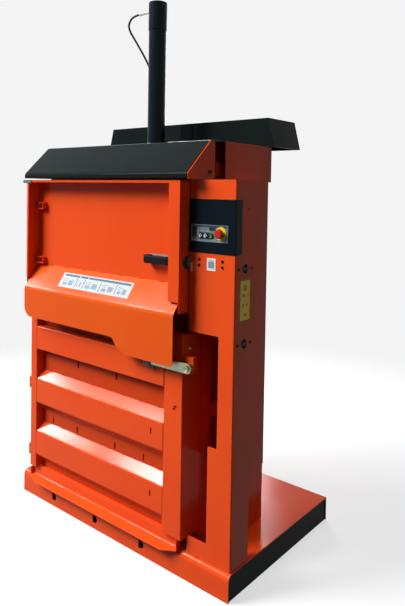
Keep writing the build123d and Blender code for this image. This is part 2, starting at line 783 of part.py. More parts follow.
for end_x in (LIP_LEFT, LIP_RIGHT - s):
    lip = lip + prism_x(
        [
            (LOWER_FRONT, LIP_Z - LIP_FALL * (lip_back - LOWER_FRONT) / LIP_DEPTH + 1),
            (lip_back - 1, LIP_Z + 1),
            (lip_back - 1, LIP_Z + LIP_END_H),
            (LOWER_FRONT, LIP_Z + LIP_END_H),
        ],
        end_x, end_x + s,
    )
save("lower_door_lip", lip)


# Hinges: frame arm with two end knuckles, door knuckle, pin
def hinge_arm(z, wall_y):
    """Arm from the body side, with the two end knuckles."""
    low = z - KNUCKLE_H / 2
    high = z + KNUCKLE_H / 2
    clear = KNUCKLE_R + 1
    inner = BODY_LEFT - ARM_T
    arm = block(inner, BODY_LEFT, HINGE_Y + clear, wall_y, low, high)
    for z0, z1 in ((low, low + KNUCKLE_END), (high - KNUCKLE_END, high)):
        arm = arm + block(inner, BODY_LEFT, HINGE_Y, HINGE_Y + clear, z0, z1)
        arm = arm + disc_z(z0, z1, HINGE_X, HINGE_Y, KNUCKLE_R)
    return arm - disc_z(low - 1, high + 1, HINGE_X, HINGE_Y, PIN_R + PIN_FIT)


def hinge_leaf(z):
    """Middle knuckle with the leaf that meets the door's side."""
    half = KNUCKLE_H / 2 - KNUCKLE_END - KNUCKLE_GAP
    leaf = disc_z(z - half, z + half, HINGE_X, HINGE_Y, KNUCKLE_R)
    front = HINGE_Y - KNUCKLE_R
    leaf = leaf + block(HINGE_X, DOOR_LEFT, front, front + LEAF_T, z - half, z + half)
    return leaf - disc_z(z - half - 1, z + half + 1, HINGE_X, HINGE_Y, PIN_R + PIN_FIT)


def hinge_pin(z):
    """Pin with a head above the top knuckle."""
    low = z - KNUCKLE_H / 2
    high = z + KNUCKLE_H / 2
    pin = disc_z(low, high, HINGE_X, HINGE_Y, PIN_R)
    return pin + disc_z(high, high + PIN_HEAD_H, HINGE_X, HINGE_Y, PIN_HEAD_R)


hinge_arms = [hinge_arm(z, POST_BACK) for z in LOWER_HINGES]
hinge_arms.extend(hinge_arm(z, POST_FRONT) for z in UPPER_HINGES)
save("hinge_arms", separate(hinge_arms))
save("lower_hinge_leaves", separate([hinge_leaf(z) for z in LOWER_HINGES]))
save("hinge_pins", separate([hinge_pin(z) for z in LOWER_HINGES + UPPER_HINGES]))

# Upper door: pan with two hollow sides, top lip and recessed panel
p = PAN_SHEET
slope_len = math.hypot(SLOPE_REACH, SLOPE_FALL)
ny = -SLOPE_FALL / slope_len
nz = SLOPE_REACH / slope_len
fold_back = p * (1 + ny) * SLOPE_FALL / SLOPE_REACH - p * nz
slope_sheet = [
    (UPPER_PANEL, SLOPE_TOP),
    (APRON_FRONT, APRON_FOLD),
    (APRON_FRONT, APRON_FOLD - APRON_H_RIGHT),
    (APRON_FRONT + p, APRON_FOLD - APRON_H_RIGHT),
    (APRON_FRONT + p, APRON_FOLD + fold_back),
    (UPPER_PANEL + p, SLOPE_TOP + fold_back),
    (UPPER_PANEL + p, SLOPE_TOP),
]
apron = prism_x(slope_sheet, APRON_LEFT, APRON_RIGHT)
left_foot = APRON_FOLD - APRON_H_LEFT
right_foot = APRON_FOLD - APRON_H_RIGHT
apron_outline = prism_y(
    [
        (APRON_LEFT, SLOPE_TOP),
        (APRON_LEFT, left_foot),
        (APRON_STEP_X, left_foot),
        (APRON_STEP_X + APRON_STEP_W, left_foot - APRON_STEP_H),
        (APRON_STEP_X + APRON_STEP_W + APRON_SLANT_W, right_foot),
        (APRON_RIGHT, right_foot),
        (APRON_RIGHT, SLOPE_TOP),
    ],
    APRON_FRONT, UPPER_PANEL + p,
)


def upright_edge(shape, x, z):
    """Edge along y nearest to a place in the front view."""
    edges = shape.edges().filter_by(Axis.Y)
    return edges.sort_by(lambda e: math.hypot(e.center().X - x, e.center().Z - z))[0]


apron_outline = fillet(upright_edge(apron_outline, APRON_LEFT, left_foot), APRON_R_LEFT)
apron_outline = fillet(upright_edge(apron_outline, APRON_STEP_X, left_foot), APRON_R_STEP)
apron_outline = fillet(upright_edge(apron_outline, APRON_RIGHT, right_foot), APRON_R_RIGHT)
apron = apron & apron_outline
save("upper_door_apron", apron)

leg_foot = UPPER_FOOT + PAN_LEG_FOOT
pan = block(DOOR_LEFT, UPPER_RIGHT, UPPER_FRONT, UPPER_BACK, UPPER_FOOT, UPPER_TOP)
pan = pan - block(
    DOOR_LEFT + p, UPPER_RIGHT - p, UPPER_FRONT + p, UPPER_BACK + 1, UPPER_FOOT - 1, UPPER_TOP - p
)
pan = pan - block(
    DOOR_LEFT + PAN_LEFT_W, UPPER_WIDE, UPPER_FRONT - 1, UPPER_FRONT + p + 1,
    UPPER_FOOT - 1, UPPER_TOP - PAN_TOP_LIP,
)
pan = pan - block(
    DOOR_LEFT - 1, UPPER_RIGHT - p, UPPER_FRONT - 1, UPPER_FRONT + p, UPPER_FOOT - 1, leg_foot
)
for wall_x in (DOOR_LEFT + PAN_LEFT_W - p, UPPER_WIDE):
    pan = pan + block(
        wall_x, wall_x + p, UPPER_FRONT, UPPER_PANEL, leg_foot, UPPER_TOP
    )
pan = pan + block(
    DOOR_LEFT + PAN_LEFT_W - p, UPPER_WIDE + p, UPPER_PANEL, UPPER_PANEL + p, SLOPE_TOP, UPPER_TOP
)
below_slope = prism_x(
    [
        (APRON_FRONT, APRON_FOLD),
        (UPPER_PANEL, SLOPE_TOP),
        (UPPER_PANEL + p, SLOPE_TOP),
        (UPPER_PANEL + p, UPPER_FOOT - 1),
        (APRON_FRONT, UPPER_FOOT - 1),
    ],
    DOOR_LEFT + p, UPPER_RIGHT - p,
)
pan = pan - below_slope
save("upper_door_pan", pan)

lug_left = DOOR_LEFT + PAN_LEFT_W
upper_leaves = [hinge_leaf(z) for z in UPPER_HINGES]
for lug_z in UPPER_HINGES:
    upper_leaves.append(
        block(
            lug_left, lug_left + LUG_LENGTH, UPPER_PANEL - LUG_D, UPPER_PANEL,
            lug_z - LUG_H / 2, lug_z + LUG_H / 2,
        )
    )
save("upper_hinge_leaves", separate(upper_leaves))

handle = block(
    HANDLE_X, HANDLE_X + HANDLE_W, UPPER_PANEL - HANDLE_D, UPPER_PANEL, HANDLE_Z, HANDLE_Z + HANDLE_H
)
handle = chamfer(handle.faces().sort_by(Axis.Y)[0].edges(), HANDLE_CHAMFER)
handle = handle - block(
    HANDLE_X + HANDLE_FOOT_W, HANDLE_X + HANDLE_W - HANDLE_FOOT_W,
    UPPER_PANEL - HANDLE_D + HANDLE_GRIP_D, UPPER_PANEL + 1, HANDLE_Z - 1, HANDLE_Z + HANDLE_H + 1,
)
save("door_handle", handle)

save("latch_disc", disc_x(UPPER_RIGHT, UPPER_RIGHT + LATCH_T, LATCH_Y, LATCH_Z, LATCH_R))

plate_left = DOOR_LEFT - TOP_PLATE_OUT
top_plate = block(
    plate_left, plate_left + TOP_PLATE_W, UPPER_FRONT - TOP_PLATE_T, UPPER_FRONT,
    UPPER_TOP - TOP_PLATE_H, UPPER_TOP,
)
save("door_top_plate", top_plate)

dy = -SLOPE_REACH / slope_len
dz = -SLOPE_FALL / slope_len
plate_end = PLATE_START + PLATE_H
instruction_plate = prism_x(
    [
        (UPPER_PANEL + PLATE_START * dy, SLOPE_TOP + PLATE_START * dz),
        (UPPER_PANEL + plate_end * dy, SLOPE_TOP + plate_end * dz),
        (UPPER_PANEL + plate_end * dy + PLATE_T * ny, SLOPE_TOP + plate_end * dz + PLATE_T * nz),
        (UPPER_PANEL + PLATE_START * dy + PLATE_T * ny, SLOPE_TOP + PLATE_START * dz + PLATE_T * nz),
    ],
    PLATE_X, PLATE_X + PLATE_W,
)
save("instruction_plate", instruction_plate)

# Lock lever on the lower door: flat bar on a bolt in a side block
lever_back = LOWER_FRONT - LEVER_STAND
lever_front = lever_back - LEVER_T
lever_foot = LEVER_Z - LEVER_R
lever = prism_y(
    [
        (LEVER_X - LEVER_REACH, lever_foot),
        (LEVER_X, lever_foot),
        (LEVER_X, LEVER_Z + LEVER_R),
        (LEVER_X - LEVER_REACH, lever_foot + LEVER_TIP_H),
    ],
    lever_front, lever_back,
)
lever = lever + disc_y(lever_front, lever_back, LEVER_X, LEVER_Z, LEVER_R)
lever = lever - disc_y(lever_front - 1, lever_back + 1, LEVER_X, LEVER_Z, LEVER_BOLT_R + LEVER_FIT)
save("lock_lever", lever)

lever_block = block(
    DOOR_RIGHT, DOOR_RIGHT + BLOCK_W, LOWER_FRONT, LOWER_FRONT + BLOCK_D,
    LEVER_Z - BLOCK_H / 2, LEVER_Z + BLOCK_H / 2,
)
lever_block = chamfer(lever_block.faces().sort_by(Axis.X)[-1].edges().filter_by(Axis.Y), BLOCK_CHAMFER)
save("lever_block", lever_block)

bolt_head_back = lever_front - LEVER_PLAY
lever_bolt = disc_y(bolt_head_back, LOWER_FRONT, LEVER_X, LEVER_Z, LEVER_BOLT_R)
lever_bolt = lever_bolt + disc_y(
    bolt_head_back - LEVER_BOLT_HEAD_H, bolt_head_back, LEVER_X, LEVER_Z, LEVER_BOLT_HEAD_R
)
lever_bolt = lever_bolt + disc_y(
    lever_back + LEVER_PLAY, LOWER_FRONT, LEVER_X, LEVER_Z, LEVER_SPACER_R
)
side_bolt = disc_x(DOOR_RIGHT, DOOR_RIGHT + SIDE_BOLT_H, SIDE_BOLT_Y, SIDE_BOLT_Z, SIDE_BOLT_R)
save("lever_bolts", separate([lever_bolt, side_bolt]))

keeper_top = lever_foot - KEEPER_GAP
keeper_front = lever_front - KEEPER_T - KEEPER_GAP
keeper_left = KEEPER_RIGHT - KEEPER_W
keeper = block(
    keeper_left, KEEPER_RIGHT, LOWER_FRONT - KEEPER_T, LOWER_FRONT, keeper_top - KEEPER_DROP, keeper_top
)
keeper = keeper + block(
    keeper_left, KEEPER_RIGHT, keeper_front, LOWER_FRONT, keeper_top - KEEPER_T, keeper_top
)
keeper = keeper + block(
    keeper_left, KEEPER_RIGHT, keeper_front, keeper_front + KEEPER_T, keeper_top - KEEPER_T,
    keeper_top + KEEPER_LIP,
)
save("lever_keeper", keeper)

# Control column: folded front and side, back, inner wall, cap
c = COLUMN_SHEET
cut_wide = COLUMN_LEFT + CUT_WIDE
cut_narrow = COLUMN_LEFT + CUT_NARROW
tongue_left = COLUMN_LEFT + TONGUE_GAP
shell = prism_y(
    [
        (tongue_left, BASE_H),
        (COLUMN_RIGHT, BASE_H),
        (COLUMN_RIGHT, COLUMN_TOP),
        (COLUMN_LEFT, COLUMN_TOP),
        (COLUMN_LEFT, CUT_TOP),
        (cut_wide, CUT_TOP),
        (cut_wide, CUT_STEP),
        (cut_narrow, CUT_STEP),
        (cut_narrow, CUT_FOOT),
        (tongue_left, CUT_FOOT),
    ],
    COLUMN_FRONT, COLUMN_FRONT + c,
)
for corner_x, corner_z in (
    (cut_wide, CUT_TOP), (cut_wide, CUT_STEP), (cut_narrow, CUT_STEP), (cut_narrow, CUT_FOOT)
):
    shell = fillet(upright_edge(shell, corner_x, corner_z), CUT_R)
window_left = COLUMN_LEFT + WINDOW_EDGE
window_right = COLUMN_RIGHT - WINDOW_EDGE
shell = shell - block(
    window_left, window_right, COLUMN_FRONT - 1, COLUMN_FRONT + c + 1,
    PANEL_Z + WINDOW_EDGE, PANEL_Z + PANEL_H - WINDOW_EDGE,
)
side = prism_x(
    [
        (COLUMN_FRONT, BASE_H),
        (LEG_BACK, BASE_H),
        (LEG_BACK, COLUMN_REAR_FOOT),
        (COLUMN_BACK, COLUMN_REAR_FOOT),
        (COLUMN_BACK, COLUMN_TOP),
        (COLUMN_FRONT, COLUMN_TOP),
    ],
    COLUMN_RIGHT - c, COLUMN_RIGHT,
)
shell = shell + side
shell = shell + block(
    COLUMN_RIGHT - LEG_FLANGE, COLUMN_RIGHT, LEG_BACK - c, LEG_BACK, BASE_H, COLUMN_REAR_FOOT
)
for drop in SIDE_HOLE_DROPS:
    row_z = COLUMN_TOP - drop
    for lobe in (-SIDE_HOLE_LOBE, SIDE_HOLE_LOBE):
        shell = shell - disc_x(
            COLUMN_RIGHT - c - 1, COLUMN_RIGHT + 1, SIDE_HOLE_Y + lobe, row_z, SIDE_HOLE_R
        )
shell = shell - disc_x(
    COLUMN_RIGHT - c - 1, COLUMN_RIGHT + 1, SMALL_HOLE_Y, COLUMN_TOP - SMALL_HOLE_DROP, SMALL_HOLE_R
)
save("column_shell", shell)

inside_right = COLUMN_RIGHT - c
column_back = block(COLUMN_LEFT, inside_right, COLUMN_BACK - c, COLUMN_BACK, COLUMN_REAR_FOOT, COLUMN_TOP - c)
column_back = column_back + block(
    COLUMN_LEFT, inside_right, LEG_BACK, COLUMN_BACK, COLUMN_REAR_FOOT, COLUMN_REAR_FOOT + c
)

inside_front = COLUMN_FRONT + c
inside_back = COLUMN_BACK - c
column_inner = block(COLUMN_LEFT, COLUMN_LEFT + c, inside_front, inside_back, CUT_TOP, COLUMN_TOP - c)
column_inner = column_inner + block(
    COLUMN_LEFT, inside_right, inside_front, inside_back, CUT_TOP, CUT_TOP + c
)
column_cap = block(COLUMN_LEFT, inside_right, inside_front, COLUMN_BACK, COLUMN_TOP - c, COLUMN_TOP)
save("column_inner", separate([column_back, column_inner, column_cap]))

side_screws = []
for drop in SIDE_HOLE_DROPS:
    row_z = COLUMN_TOP - drop
    for offset in (-SIDE_SCREW_SPREAD, SIDE_SCREW_SPREAD):
        head = disc_x(
            COLUMN_RIGHT, COLUMN_RIGHT + SIDE_SCREW_H, SIDE_HOLE_Y + offset, row_z, SIDE_SCREW_R
        )
        side_screws.append(chamfer(head.edges().sort_by(Axis.X)[-1], SCREW_EDGE))

side_plate_top = COLUMN_TOP - SIDE_PLATE_DROP
side_plate = block(
    COLUMN_RIGHT, COLUMN_RIGHT + SIDE_PLATE_T, SIDE_PLATE_Y, SIDE_PLATE_Y + SIDE_PLATE_W,
    side_plate_top - SIDE_PLATE_H, side_plate_top,
)
save("side_plate", side_plate)

cab_front = COLUMN_BACK + CABINET_GAP
cab_top = COLUMN_TOP - CABINET_DROP
cabinet = block(
    BODY_RIGHT, BODY_RIGHT + CABINET_W, cab_front, cab_front + CABINET_D, BASE_H, cab_top
)
cabinet = cabinet - block(
    BODY_RIGHT + CABINET_T, BODY_RIGHT + CABINET_W - CABINET_T, cab_front + CABINET_T,
    cab_front + CABINET_D - CABINET_T, BASE_H + CABINET_T, cab_top - CABINET_T,
)
save("rear_cabinet", cabinet)

gear_x = (COLUMN_LEFT + COLUMN_RIGHT) / 2
gear_z = CUT_TOP + GEAR_RISE
gear_plate = block(
    gear_x - GEAR_W / 2, gear_x + GEAR_W / 2, inside_back - GEAR_T, inside_back, gear_z, gear_z + GEAR_H
)
control_gear = [gear_plate]
for step in (-1, 0, 1):
    relay_x = gear_x + step * GEAR_W / 3
    control_gear.append(
        block(
            relay_x - RELAY_W / 2, relay_x + RELAY_W / 2, inside_back - GEAR_T - RELAY_D,
            inside_back - GEAR_T, gear_z + GEAR_H / 2, gear_z + GEAR_H / 2 + RELAY_H,
        )
    )
save("control_gear", separate(control_gear))

# Control panel round the column's corner
panel = block(
    COLUMN_LEFT - DOOR_GAP + PANEL_SIDE_GAP, COLUMN_RIGHT + PANEL_T, PANEL_FRONT, COLUMN_FRONT,
    PANEL_Z, PANEL_Z + PANEL_H,
)
panel = panel + block(
    COLUMN_RIGHT, COLUMN_RIGHT + PANEL_T, PANEL_FRONT, PANEL_FRONT + PANEL_WRAP, PANEL_Z, PANEL_Z + PANEL_H
)
keypad = block(
    COLUMN_LEFT + KEYPAD_X, COLUMN_LEFT + KEYPAD_X + KEYPAD_W, KEYPAD_FRONT, PANEL_FRONT,
    KEYPAD_Z, KEYPAD_Z + KEYPAD_H,
)
ring_x = COLUMN_LEFT + RING_X
ring_front = KEYPAD_FRONT - RING_T
stem_hole = disc_y(ring_front - 1, COLUMN_FRONT + 1, ring_x, RING_Z, STOP_STEM_R + STOP_FIT)
panel = panel - stem_hole
keypad = keypad - stem_hole
buttons = []
bezels = []
bezel_front = KEYPAD_FRONT - BEZEL_T
button_front = bezel_front - BUTTON_OUT
button_back = button_front + BUTTON_L
for place_x, rise in BUTTON_PLACES:
    button_x = COLUMN_LEFT + place_x
    place_z = KEYPAD_Z + rise
    bore = disc_y(button_front, button_back, button_x, place_z, BUTTON_R + BUTTON_FIT)
    panel = panel - bore
    keypad = keypad - bore
    bezels.append(disc_y(bezel_front, KEYPAD_FRONT, button_x, place_z, BEZEL_R) - bore)
    button = disc_y(button_front, button_back, button_x, place_z, BUTTON_R)
    flange_y = COLUMN_FRONT + BUTTON_FLANGE_T
    button = button + disc_y(
        COLUMN_FRONT + BUTTON_FIT, flange_y, button_x, place_z, BUTTON_FLANGE_R
    )
    buttons.append(chamfer(button.edges().sort_by(Axis.Y)[0], BUTTON_EDGE))
save("control_panel", panel)
save("keypad_plate", keypad)
save("button_bezels", separate(bezels))
save("down_button", buttons[0])
save("up_button", buttons[1])
save("start_button", buttons[2])

ring = disc_y(ring_front, KEYPAD_FRONT, ring_x, RING_Z, RING_R) - stem_hole
save("stop_ring", ring)
head_back = ring_front - STOP_TRAVEL - STOP_PLAY
head_front = head_back - STOP_HEAD_H
stem_front = head_back - STOP_HEAD_H / 2
stem = disc_y(stem_front, stem_front + STOP_STEM_L, ring_x, RING_Z, STOP_STEM_R)
save("stop_stem", stem)
head = disc_y(head_front, head_back, ring_x, RING_Z, STOP_HEAD_R)
head = fillet(head.edges().sort_by(Axis.Y)[0], STOP_HEAD_H / 2 - 1)
head = head - disc_y(stem_front, head_back + 1, ring_x, RING_Z, STOP_STEM_R + STOP_FIT)
save("stop_head", head)

panes = []
for pane_x, pane_w, rise, pane_h in (
    (DISPLAY_X, DISPLAY_W, DISPLAY_RISE, DISPLAY_H), (COUNTER_X, COUNTER_W, COUNTER_RISE, COUNTER_H)
):
    panes.append(
        block(
            COLUMN_LEFT + pane_x, COLUMN_LEFT + pane_x + pane_w, KEYPAD_FRONT - PANE_T, KEYPAD_FRONT,
            KEYPAD_Z + rise, KEYPAD_Z + rise + pane_h,
        )
    )
save("display_panes", separate(panes))

panel_screws = []
for place_x, drop in SCREW_PLACES:
    screw = disc_y(COLUMN_FRONT - SCREW_H, COLUMN_FRONT, COLUMN_LEFT + place_x, PANEL_Z - drop, SCREW_R)
    panel_screws.append(chamfer(screw.edges().sort_by(Axis.Y)[0], SCREW_EDGE))

info_z = PANEL_Z - INFO_DROP
info_plate = block(
    COLUMN_LEFT + INFO_X, COLUMN_LEFT + INFO_X + INFO_W, COLUMN_FRONT - INFO_T, COLUMN_FRONT,
    info_z, info_z + INFO_H,
)
save("info_plate", info_plate)

key_z = LATCH_Z - KEY_DROP
interlock_key = block(
    COLUMN_LEFT + KEY_X, COLUMN_LEFT + KEY_X + KEY_W, COLUMN_FRONT - KEY_OUT, COLUMN_FRONT,
    key_z, key_z + KEY_H,
)
interlock_key = fillet(interlock_key.faces().sort_by(Axis.Y)[0].edges().filter_by(Axis.X), KEY_R)
save("interlock_key", interlock_key)

# Hood: folded sheet and left end plate, with the gusset and the side sheet on its right
h = HOOD_SHEET
rise_len = math.hypot(HOOD_RUN, HOOD_RISE)
lip_in = h * (rise_len - HOOD_RISE) / HOOD_RUN
top_in = h * (rise_len - HOOD_RUN) / HOOD_RISE
lip_top = HOOD_Z + HOOD_LIP
hood = prism_x(
    [
        (HOOD_FRONT, HOOD_Z),
        (HOOD_FRONT, lip_top),
        (HOOD_FOLD, HOOD_TOP),
        (HOOD_BACK, HOOD_TOP),
        (HOOD_BACK, HOOD_TOP - h),
        (HOOD_FOLD + top_in, HOOD_TOP - h),
        (HOOD_FRONT + h, lip_top - lip_in),
        (HOOD_FRONT + h, HOOD_Z + h),
        (HOOD_FRONT + HOOD_RETURN, HOOD_Z + h),
        (HOOD_FRONT + HOOD_RETURN, HOOD_Z),
    ],
    HOOD_LEFT, HOOD_RIGHT,
)
hood = hood - disc_z(HOOD_TOP - h - 1, HOOD_TOP + 1, CYL_X, CYL_Y, CYL_R + BARREL_HOLE_GAP)

g = GUSSET_INSET
gusset = prism_x(
    [
        (HOOD_FRONT + g, COLUMN_TOP),
        (HOOD_FRONT + g, lip_top),
        (HOOD_FOLD, HOOD_TOP - g),
        (GUSSET_BACK, HOOD_TOP - g),
        (GUSSET_BACK, COLUMN_TOP),
    ],
    HOOD_RIGHT, HOOD_RIGHT + GUSSET_T,
)
side_sheet = block(HOOD_RIGHT, HOOD_RIGHT + h, SIDE_START, HOOD_BACK, COLUMN_TOP, HOOD_TOP)
save("hood_gusset", separate([gusset, side_sheet]))

hood_pieces = [
    hood,
    prism_x(
        [
            (HOOD_FRONT, HOOD_Z),
            (HOOD_FRONT, lip_top),
            (HOOD_FOLD, HOOD_TOP),
            (HOOD_BACK, HOOD_TOP),
            (HOOD_BACK, HOOD_Z),
        ],
        HOOD_LEFT - h, HOOD_LEFT,
    ),
]
save("hood", separate(hood_pieces))

gusset_face = HOOD_RIGHT + GUSSET_T
gusset_bolt = disc_x(
    gusset_face, gusset_face + GUSSET_BOLT_H, GUSSET_BOLT_Y, COLUMN_TOP + GUSSET_BOLT_RISE, GUSSET_BOLT_R
)
save("column_screws", separate(side_screws + panel_screws + [gusset_bolt]))


# Rear cover with its band, housing, tank, motor and valve block
def cover_outline(inset):
    """Front outline of the rear cover, moved inwards by a sheet."""
    slant = inset * math.hypot(COVER_FLARE, COVER_H) / COVER_H
    top = COVER_TOP - inset
    lean = slant + inset * COVER_FLARE / COVER_H * -1
    foot_left = COVER_LEFT - COVER_FLARE + slant
    foot_right = COVER_RIGHT + COVER_FLARE - slant
    return [
        (foot_left, HOOD_TOP),
        (COVER_LEFT + lean, top),
        (COVER_RIGHT - lean, top),
        (foot_right, HOOD_TOP),
    ]


cover = prism_y(cover_outline(0), COVER_FRONT, COVER_BACK)
cover = cover - prism_y(cover_outline(COVER_SHEET), COVER_FRONT + COVER_SHEET, COVER_BACK - COVER_SHEET)
cover = cover - disc_z(
    COVER_TOP - COVER_SHEET - 1, COVER_TOP + 1, HOSE_X, HOSE_END_Y, HOSE_R + GROMMET_FIT
)
save("rear_cover", cover)

band_x = CYL_X + BAND_SHIFT
save("cover_band", block(band_x, band_x + BAND_W, COVER_FRONT - BAND_T, COVER_FRONT, HOOD_TOP, COVER_TOP))

grommet = disc_z(COVER_TOP, COVER_TOP + GROMMET_H, HOSE_X, HOSE_END_Y, GROMMET_R)
grommet = grommet - disc_z(
    COVER_TOP - 1, COVER_TOP + GROMMET_H + 1, HOSE_X, HOSE_END_Y, HOSE_R + GROMMET_FIT
)
save("hose_grommet", grommet)

housing_right = HOUSING_X + HOUSING_W
housing_front = COVER_BACK - HOUSING_D
housing = block(HOUSING_X, housing_right, housing_front, COVER_BACK, HOUSING_Z, HOOD_TOP)
housing = housing - block(
    HOUSING_X + HOUSING_SHEET, housing_right - HOUSING_SHEET, housing_front - 1,
    COVER_BACK - HOUSING_SHEET, HOUSING_Z + HOUSING_SHEET, HOOD_TOP + 1,
)
save("rear_housing", housing)

tank_z = HOUSING_Z + HOUSING_SHEET
tank_back = COVER_BACK - HOUSING_SHEET
tank_mid = tank_back - TANK_D / 2
tank = block(TANK_X, TANK_X + TANK_W, tank_back - TANK_D, tank_back, tank_z, tank_z + TANK_H)
tank = tank - block(
    TANK_X + TANK_T, TANK_X + TANK_W - TANK_T, tank_back - TANK_D + TANK_T, tank_back - TANK_T,
    tank_z + TANK_T, tank_z + TANK_H - TANK_T,
)
save("oil_tank", tank)
motor_z = tank_z + TANK_H
motor = disc_z(motor_z, motor_z + MOTOR_H, MOTOR_X, tank_mid, MOTOR_R)
valve_block = block(
    VALVE_X, VALVE_X + VALVE_W, tank_mid - VALVE_D / 2, tank_mid + VALVE_D / 2, motor_z, motor_z + VALVE_H
)
save("pump_unit", separate([motor, valve_block]))

# Press cylinder on its crosshead
beams = []
for beam_y in (CYL_Y - BEAM_SPREAD / 2 - BEAM_T, CYL_Y + BEAM_SPREAD / 2):
    beams.append(block(INNER_LEFT, INNER_RIGHT, beam_y, beam_y + BEAM_T, SEAT_TOP, BODY_TOP))

seat_half_d = BEAM_SPREAD / 2 + BEAM_T
seat = block(
    CYL_X - PLATE_SEAT_W / 2, CYL_X + PLATE_SEAT_W / 2, CYL_Y - seat_half_d, CYL_Y + seat_half_d,
    SEAT_Z, SEAT_TOP,
)
seat = seat - disc_z(SEAT_Z - 1, SEAT_TOP + 1, CYL_X, CYL_Y, ROD_R + ROD_SEAT_GAP)
save("crosshead", separate(beams + [seat]))

flange = block(
    CYL_X - FLANGE_W / 2, CYL_X + FLANGE_W / 2, CYL_Y - FLANGE_W / 2, CYL_Y + FLANGE_W / 2,
    SEAT_TOP, FLANGE_TOP,
)
flange = flange - disc_z(SEAT_TOP - 1, FLANGE_TOP + 1, CYL_X, CYL_Y, ROD_R + ROD_FIT)

barrel = disc_z(FLANGE_TOP, BARREL_TOP, CYL_X, CYL_Y, CYL_R)
barrel = barrel - disc_z(FLANGE_TOP - 1, BARREL_TOP + 1, CYL_X, CYL_Y, CYL_BORE)
save("cylinder_barrel", barrel)

cap = disc_z(BARREL_TOP, CYL_TOP, CYL_X, CYL_Y, CAP_R)
cap = fillet(cap.edges().sort_by(Axis.Z)[-1], CAP_EDGE)
cap = cap - disc_x(CYL_X - CAP_R - 1, FITTING_INNER, CYL_Y, PORT_Z, FITTING_NUT_R + FITTING_FIT)
save("cylinder_ends", separate([flange, cap]))

# Ram: rod with piston, and the press plate
piston_foot = PISTON_TOP - PISTON_H
rod = disc_z(RAM_TOP, piston_foot, CYL_X, CYL_Y, ROD_R)
rod = rod + disc_z(piston_foot, PISTON_TOP, CYL_X, CYL_Y, CYL_BORE - PISTON_FIT)
save("piston_rod", rod)

ram_left = INNER_LEFT + RAM_GAP
ram_right = INNER_RIGHT - RAM_GAP
ram_front = POST_FRONT + RAM_GAP
ram_back = CHAMBER_BACK - RAM_GAP
ram = block(ram_left, ram_right, ram_front, ram_back, RAM_Z, RAM_TOP)
ram = ram - block(
    ram_left + RAM_RIB_T, ram_right - RAM_RIB_T, ram_front + RAM_RIB_T, ram_back - RAM_RIB_T,
    RAM_Z + RAM_SKIN, RAM_TOP + 1,
)
for rib_y in (CYL_Y - RAM_BOSS_R / 2, CYL_Y + RAM_BOSS_R / 2):
    ram = ram + block(
        ram_left, ram_right, rib_y - RAM_RIB_T / 2, rib_y + RAM_RIB_T / 2, RAM_Z, RAM_TOP
    )
ram = ram + disc_z(RAM_Z, RAM_TOP, CYL_X, CYL_Y, RAM_BOSS_R)
for place in STRAP_PLACES:
    ram = ram - block(
        place - STRAP_W / 2, place + STRAP_W / 2, ram_front - 1, ram_back + 1, RAM_Z - 1, RAM_Z + RAM_SKIN / 2
    )
save("press_plate", ram)

# Hose from the cylinder's top port to the rear cover
fitting = disc_x(FITTING_OUTER, FITTING_INNER, CYL_Y, PORT_Z, FITTING_R)
fitting = fitting + disc_x(FITTING_INNER - FITTING_NUT_L, FITTING_INNER, CYL_Y, PORT_Z, FITTING_NUT_R)
save("hose_fitting", fitting)

hose_run = HOSE_END_Y - CYL_Y
hose_drop = PORT_Z - COVER_TOP
hose_points = [(FITTING_OUTER, CYL_Y, PORT_Z)]
for reach, run, drop in HOSE_BENDS:
    hose_points.append(
        (FITTING_OUTER - reach * HOSE_REACH, CYL_Y + run * hose_run, PORT_Z - drop * hose_drop)
    )
hose_points.append((HOSE_X, HOSE_END_Y, COVER_TOP - HOSE_TAIL))
hose_radii = []
for before, here, after in zip(hose_points, hose_points[1:], hose_points[2:]):
    a = Vector(*here) - Vector(*before)
    b = Vector(*after) - Vector(*here)
    half_turn = math.radians(a.get_angle(b)) / 2
    radius = HOSE_ARC_SHARE * min(a.length, b.length) / math.tan(half_turn)
    print("hose run", round(a.length), "turn", round(math.degrees(2 * half_turn)), "radius", round(radius))
    hose_radii.append(radius)
route = FilletPolyline(*hose_points, radius=hose_radii)
section = Plane(origin=route @ 0, z_dir=route % 0) * Circle(HOSE_R)
hose = sweep(section, path=route)
print("hose length", round(route.length), "volume ratio", hose.volume / (math.pi * HOSE_R ** 2 * route.length))
save("hose", hose)
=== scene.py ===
import logging
import math
from dataclasses import dataclass, replace
from enum import Enum
from typing import Callable, Iterable

import bmesh
import bpy
from mathutils import Matrix, Vector


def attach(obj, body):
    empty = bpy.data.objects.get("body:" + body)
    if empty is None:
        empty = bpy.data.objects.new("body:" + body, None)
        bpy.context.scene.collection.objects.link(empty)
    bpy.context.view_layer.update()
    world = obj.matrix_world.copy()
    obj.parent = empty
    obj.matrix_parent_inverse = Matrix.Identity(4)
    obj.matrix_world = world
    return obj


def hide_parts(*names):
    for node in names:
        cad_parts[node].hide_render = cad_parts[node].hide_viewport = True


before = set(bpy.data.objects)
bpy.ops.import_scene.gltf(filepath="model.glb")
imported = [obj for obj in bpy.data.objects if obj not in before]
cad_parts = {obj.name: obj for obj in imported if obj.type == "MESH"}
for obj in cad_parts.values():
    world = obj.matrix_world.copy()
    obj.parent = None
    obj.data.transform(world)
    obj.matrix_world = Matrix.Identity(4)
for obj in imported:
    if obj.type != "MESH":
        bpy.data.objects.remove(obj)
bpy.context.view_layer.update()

Pair = tuple[float, float]
Triple = tuple[float, float, float]
# Left, low, right and high side, in this order.
Bar = tuple[float, float, float, float]
Piece = bpy.types.Object
Node = bpy.types.Node
Tree = bpy.types.NodeTree
EdgeTest = Callable[[Vector, Vector], bool]
FaceTest = Callable[[bmesh.types.BMFace], bool]

LOG = logging.getLogger("baler")
MM = 0.001

